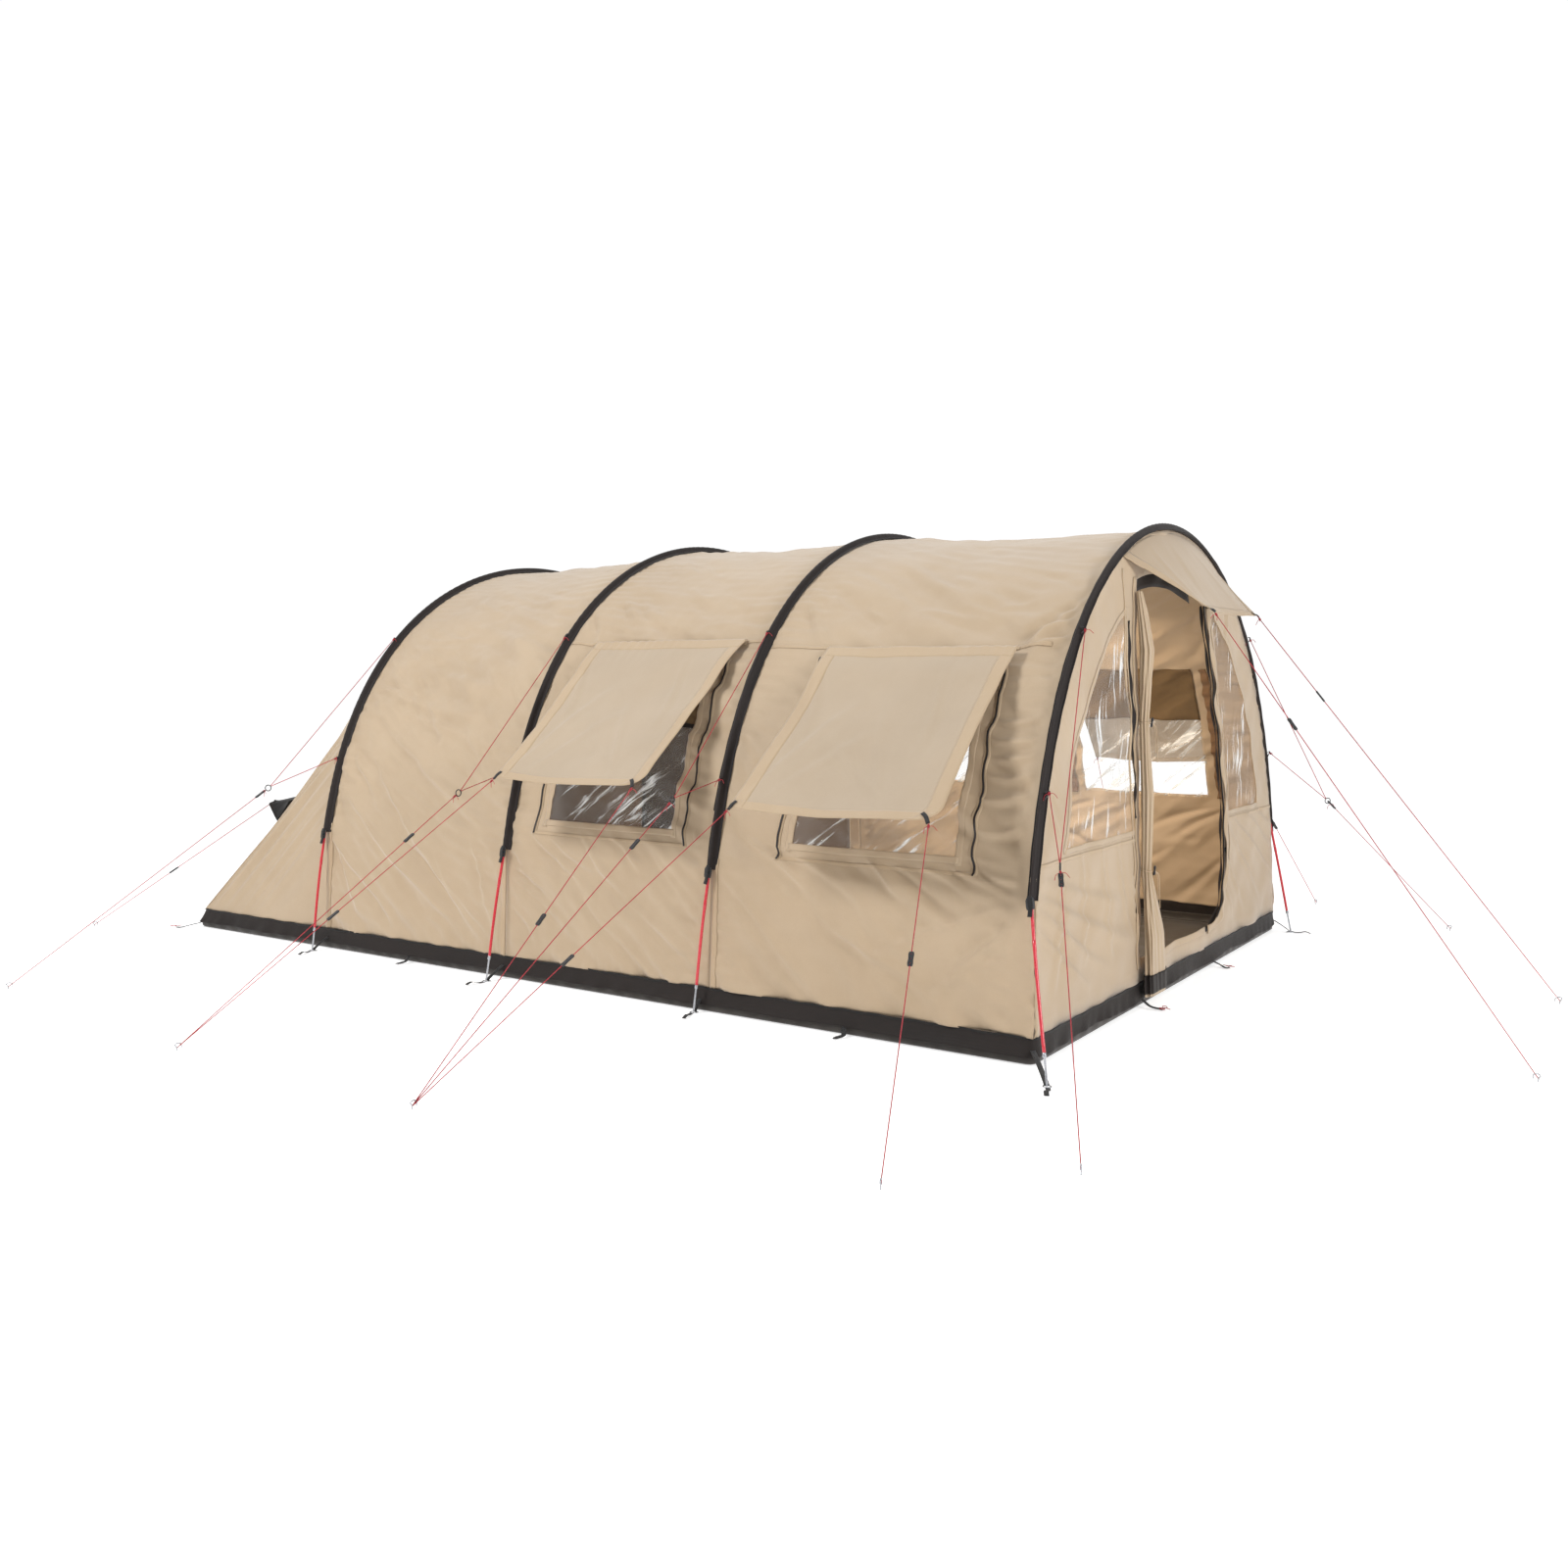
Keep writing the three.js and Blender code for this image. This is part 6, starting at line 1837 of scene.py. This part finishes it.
def make_skirt():
    rows = []
    for share in np.linspace(0, 1, 15):
        z = SKIRT_TOP + 0.002 + (0.030 - SKIRT_TOP) * share
        place, out, s = ground_loop(z)
        ruffle = (0.0022 * np.sin(s * 31 + 4 * np.sin(s * 3.1)) + 0.0012 * np.sin(s * 63 + 3 * np.sin(s * 5.7))) * (1 + np.sin(s * 2.3))
        slow = 0.006 * np.sin(s * 8 + 2 * np.sin(s * 1.9))
        front_side = out[:, 1] < -0.7
        lift = 0.0025 + 0.012 * share ** 1.5 + (ruffle + slow) * share ** 1.2 * 0.8
        lower = np.where(front_side, 0.010 * np.sin(s * 11 + np.sin(s * 4)), 0.004 * np.sin(s * 13)) * share ** 2
        rows.append(np.stack([place[:, 0] + out[:, 0] * lift, place[:, 1] + out[:, 1] * lift, np.full(len(s), z) + lower * 0.5], 1))
    grid = np.array(rows)
    closed = np.concatenate([grid, grid[:, :1]], axis=1)
    skirt = grid_object("skirt", closed, BROWN)
    skirt.data.update()
    if sum((p.normal.x * p.center.x + p.normal.y * p.center.y) * p.area for p in skirt.data.polygons) < 0:
        skirt.data.flip_normals()
    thicken(skirt, 0.0016, -1.0)
    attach(skirt, TENT)
    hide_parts("mud_skirt")
    # Sewn tape along the joint of skirt and walls
    place, out, s = ground_loop(SKIRT_TOP + 0.001)
    path = np.stack([place[:, 0] + out[:, 0] * 0.0042, place[:, 1] + out[:, 1] * 0.0042, SKIRT_TOP - 0.001 + 0.0022 * np.sin(s * 37 + np.sin(s * 6))], 1)
    path = np.concatenate([path, path[:1]])
    tape = strap("skirt_tape", path, 0.009, 0.0018, BLACK, across=(0, 0, 1))
    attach(tape, TENT)


def make_floor():
    rows = []
    for height, out in ((0.0465, -0.001), (0.040, 0.0), (0.030, 0.001), (0.018, 0.001), (0.008, -0.001), (0.0025, -0.006), (0.0015, -0.020)):
        place, normal, s = ground_loop(0.03, out)
        wave = 0.0022 * np.sin(s * 61 + 2 * np.sin(s * 4)) * (height > 0.015)
        rows.append(np.stack([place[:, 0] + normal[:, 0] * wave, place[:, 1] + normal[:, 1] * wave, np.full(len(s), height)], 1))
    rim = np.array(rows)
    rim = grid_object("floor_rim", np.concatenate([rim, rim[:, :1]], axis=1), FLOOR_CLOTH)
    rim.data.update()
    if sum((p.normal.x * p.center.x + p.normal.y * p.center.y) * p.area for p in rim.data.polygons) < 0:
        rim.data.flip_normals()
    thicken(rim, 0.0014, -1.0)
    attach(rim, TENT)
    x = WALL_HALF_WIDTH - 0.022
    xs, ys = np.linspace(-x, x, 150)[None, :], np.linspace(FRONT + 0.024, float(tail_y(0.03)) - 0.022, 220)[:, None]
    edge = np.minimum(np.minimum(x - np.abs(xs), ys - FRONT - 0.02), REAR - 0.03 - ys)
    z = 0.0034 + np.clip(edge / 0.3, 0, 1) * (0.0028 * (1 + waves(71, xs, ys, 18, 0.7, 0.12, 0.0)) + np.abs(waves(72, xs, ys, 18, 0.6, 0.10, 0.004)))
    grid = np.stack(np.broadcast_arrays(xs, ys, z), -1)
    sheet_floor = upward(grid_object("floor_sheet", grid, FLOOR_CLOTH))
    thicken(sheet_floor, 0.0014, -1.0)
    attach(sheet_floor, TENT)
    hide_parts("groundsheet")


make_skirt()
make_floor()


def peg_strap(name, wall, end, width=0.020, sway=0.02):
    """A webbing peg loop sewn to the skirt, lying slackly on the ground."""
    wall, end = np.asarray(wall, float), np.asarray(end, float)
    out = unit([end[0] - wall[0], end[1] - wall[1], 0])
    around = np.array([-out[1], out[0], 0])
    middle = wall * 0.45 + end * 0.55
    path = smooth_path([wall, wall + out * 0.02 - [0, 0, 0.018], [*(middle + around * sway)[:2], 0.012], [*(end * 0.85 + wall * 0.15 - around * sway * 0.6)[:2], 0.0035], [*end[:2], 0.0045]], 22)
    loop = strap(name, path, width, 0.0022, WEBBING, across=around)
    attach(loop, TENT)
    return path[-1]


def red_bow(name, at, turned=0.0):
    """A tied end of red cord lying on the ground."""
    a = np.asarray(at, float) + [0, 0, 0.004]
    c, s = math.cos(turned), math.sin(turned)
    spin = lambda dx, dy, dz=0.0: a + [dx * c - dy * s, dx * s + dy * c, dz]
    loop = [spin(0, 0), spin(0.018, 0.010, 0.006), spin(0.032, 0.0, 0.004), spin(0.018, -0.010, 0.001), spin(0, 0, 0.003),
            spin(-0.016, 0.012, 0.006), spin(-0.028, 0.002, 0.004), spin(-0.014, -0.010, 0.001), spin(0.002, -0.002, 0.004), spin(0.004, -0.028, 0.0)]
    bow = tube(name, smooth_path(loop, 46), 0.0016, CORD_RED, sides=7)
    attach(bow, TENT)


for k, (start, end) in enumerate([
        ((-0.518, FRONT + 0.006, 0.050), (-0.535, -2.150, 0.004)), ((0.441, FRONT + 0.006, 0.050), (0.455, -2.135, 0.004)),
        ((-1.590, REAR - 0.060, 0.050), (-1.705, REAR + 0.060, 0.004)), ((1.590, REAR - 0.060, 0.050), (1.700, REAR + 0.065, 0.004)),
        ((0.0, REAR - 0.05, 0.045), (0.020, REAR + 0.075, 0.004)), ((-1.606, -1.25, 0.045), (-1.690, -1.255, 0.004)),
        ((1.606, -1.25, 0.045), (1.690, -1.245, 0.004)), ((-1.606, 1.22, 0.045), (-1.690, 1.23, 0.004)), ((1.606, 1.22, 0.045), (1.690, 1.23, 0.004))]):
    tip = peg_strap(f"peg_strap_{k}", start, end, sway=0.014 if k % 2 else -0.012)
    if k < 5:
        red_bow(f"red_tie_{k}", tip, turned=k * 1.3)

# ---------------------------------------------------------------- inner sleeping cabin

CABIN = {"front": 0.620, "shoulder": 1.790, "rear": 2.780, "inset": 0.062, "floor": 0.009, "rear_half": 1.490, "rear_height": 0.150}
CABIN_DOOR = {"half": 0.550, "bottom": 0.060, "top": 1.500}


def cabin_ring(share_low, count=181):
    """An outline of the cabin between its front arch (0) and its low rear edge (1)."""
    arch = HOOPS[0].skin(CABIN["inset"], CABIN["floor"])
    run = np.concatenate([[0], np.cumsum(np.linalg.norm(np.diff(arch, axis=0), axis=1))])
    s = np.linspace(0, 1, count)
    arch = np.stack([np.interp(s * run[-1], run, arch[:, k]) for k in (0, 1)], 1)
    up = np.clip(np.minimum(s, 1 - s) / 0.13, 0, 1)
    across = np.clip((s - 0.13) / 0.74, 0, 1)
    low = np.stack([CABIN["rear_half"] * (2 * across - 1), CABIN["floor"] + (CABIN["rear_height"] - CABIN["floor"]) * up], 1)
    return arch + (low - arch) * share_low, s * run[-1]


def make_cabin():
    rows = []
    y_front, y_mid, y_rear = CABIN["front"], CABIN["shoulder"], CABIN["rear"]
    for y in list(np.linspace(y_front, y_mid, 52)) + list(np.linspace(y_mid, y_rear, 46)[1:]):
        share = max(0.0, (y - y_mid) / (y_rear - y_mid))
        ring, s = cabin_ring(share)
        middle = np.array([0, 0.7 * (1 - share)])
        inward = middle - ring
        inward /= np.maximum(np.linalg.norm(inward, axis=1), 1e-6)[:, None]
        hang = 0.012 * (1 + np.sin(s * 5.2 + 0.8)) * math.sin(math.pi * min(1, max(0, (y - y_front) / (y_rear - y_front))))
        folds = waves(81, s, np.full_like(s, y), 16, 0.7, 0.18, 0.010)
        keep_edge = np.clip(np.minimum(s, s[-1] - s) / 0.15, 0, 1) * min(1, (y - y_front) / 0.08, (y_rear - y) / 0.08)
        ring = ring + inward * ((hang + folds) * keep_edge)[:, None]
        rows.append(np.stack([ring[:, 0], np.full(len(s), y), ring[:, 1]], 1))
    shell = grid_object("cabin_shell", np.array(rows), CABIN_CLOTH)
    shell.data.update()
    if sum(p.normal.z * p.area for p in shell.data.polygons) < 0:
        shell.data.flip_normals()
    thicken(shell, 0.0010, -1.0)
    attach(shell, TENT)
    # Its front wall, with the doorway that the mesh door closes
    ring, _ = cabin_ring(0.0, 241)
    half, bottom, top = CABIN_DOOR["half"], CABIN_DOOR["bottom"], CABIN_DOOR["top"]
    from mathutils.geometry import delaunay_2d_cdt
    outer = np.concatenate([ring, np.linspace(ring[-1], ring[0], 90)[1:-1]])[::-1]
    corner = 0.10
    door = []
    for cx, cz, a0 in ((half - corner, top - corner, 0), (-half + corner, top - corner, 90), (-half + 0.02, bottom + 0.02, 180), (half - 0.02, bottom + 0.02, 270)):
        r = corner if cz > 1 else 0.02
        door += [(cx + r * math.cos(a), cz + r * math.sin(a)) for a in np.radians(np.linspace(a0, a0 + 90, 9))]
    door = np.array(door)
    points, edges = [], []
    for loop in (outer, door):
        first = len(points)
        points += [tuple(p) for p in loop]
        edges += [(first + i, first + (i + 1) % len(loop)) for i in range(len(loop))]
    extra = [(x + 0.014 * (r % 2), z) for r, z in enumerate(np.arange(0.03, 1.9, 0.026)) for x in np.arange(-1.52, 1.52, 0.03)]
    inner_scale = 0.985
    keep = []
    for x, z in extra:
        limit = float(np.interp(z / inner_scale, ring[:121, 1], -ring[:121, 0])) * inner_scale
        in_door = abs(x) < half + 0.012 and bottom - 0.012 < z < top + 0.012
        if abs(x) < limit - 0.012 and not in_door:
            keep.append((x, z))
    result = delaunay_2d_cdt([Vector(p) for p in points + keep], edges, [], 2, 1e-6)
    flat = np.array([tuple(v) for v in result[0]])
    faces = []
    for f in result[2]:
        mx, mz = flat[list(f)].mean(axis=0)
        in_door = abs(mx) < half and bottom < mz < top and not (mz > top - corner and abs(mx) > half - corner and math.hypot(abs(mx) - half + corner, mz - top + corner) > corner)
        if not in_door:
            faces.append(f)
    fold = waves(82, flat[:, 0], flat[:, 1], 16, 0.6, 0.16, 0.010) * np.clip(np.abs(np.abs(flat[:, 0]) - half) / 0.1, 0.15, 1)
    limit = np.interp(flat[:, 1], ring[:121, 1], -ring[:121, 0])
    fold = fold * np.clip((limit - np.abs(flat[:, 0])) / 0.05, 0, 1)
    # The front wall is coloured with the dark brown painted shade
    wall = new_mesh("cabin_front", np.stack([flat[:, 0], CABIN["front"] + 0.003 + np.abs(fold), flat[:, 1]], 1), faces, CABIN_FRONT_PAINTED_SHADE)
    drop_loose(wall)
    wall.data.update()
    if sum(p.normal.y * p.area for p in wall.data.polygons) > 0:
        wall.data.flip_normals()
    thicken(wall, 0.0010, -1.0)
    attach(wall, TENT)
    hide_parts("sleeping_cabin")
    # Its floor
    xs, ys = np.linspace(-1.535, 1.535, 120)[None, :], np.linspace(y_front + 0.004, y_rear - 0.006, 90)[:, None]
    taper = 1 - np.clip((ys - y_mid) / (y_rear - y_mid), 0, 1) * (1 - CABIN["rear_half"] / 1.545)
    z = 0.0125 + np.abs(waves(83, xs, ys, 16, 0.5, 0.12, 0.004)) + 0 * xs
    base = upward(grid_object("cabin_floor", np.stack(np.broadcast_arrays(xs * taper, ys, z), -1), FLOOR_CLOTH))
    thicken(base, 0.0010, -1.0)
    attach(base, TENT)
    # Mesh door with its zip round three sides
    low, high = (np.array(c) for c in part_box("cabin_door"))
    us, vs = np.linspace(low[0], high[0], 70)[None, :], np.linspace(low[2], high[2], 90)[:, None]
    edge = np.clip(np.minimum(np.minimum(us - low[0], high[0] - us), np.minimum(vs - low[2], high[2] - vs)) / 0.06, 0, 1)
    y = (low[1] + high[1]) / 2 + 0.0035 * edge * np.sin(us * 9 + vs * 4) * 0.6
    mesh = grid_object("cabin_door_mesh", np.stack(np.broadcast_arrays(us, y, vs), -1), CABIN_MESH)
    thicken(mesh, 0.0006, 0.0)
    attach(mesh, "cabin_door")
    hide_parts("cabin_door")
    frame_y = (low[1] + high[1]) / 2 - 0.001
    path = [(low[0] + 0.016, low[2] + 0.016)] + [(low[0] + 0.016, high[2] - 0.09), (low[0] + 0.09, high[2] - 0.016), (high[0] - 0.09, high[2] - 0.016), (high[0] - 0.016, high[2] - 0.09), (high[0] - 0.016, low[2] + 0.016)]
    path = np.array([(x, frame_y, z) for x, z in path + path[:1]])
    step = np.concatenate([[0], np.cumsum(np.linalg.norm(np.diff(path, axis=0), axis=1))])
    fine_path = np.stack([np.interp(np.linspace(0, step[-1], 150), step, path[:, k]) for k in range(3)], 1)
    bind = strap("cabin_door_binding", fine_path, 0.022, 0.0016, BROWN)
    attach(bind, "cabin_door")


make_cabin()
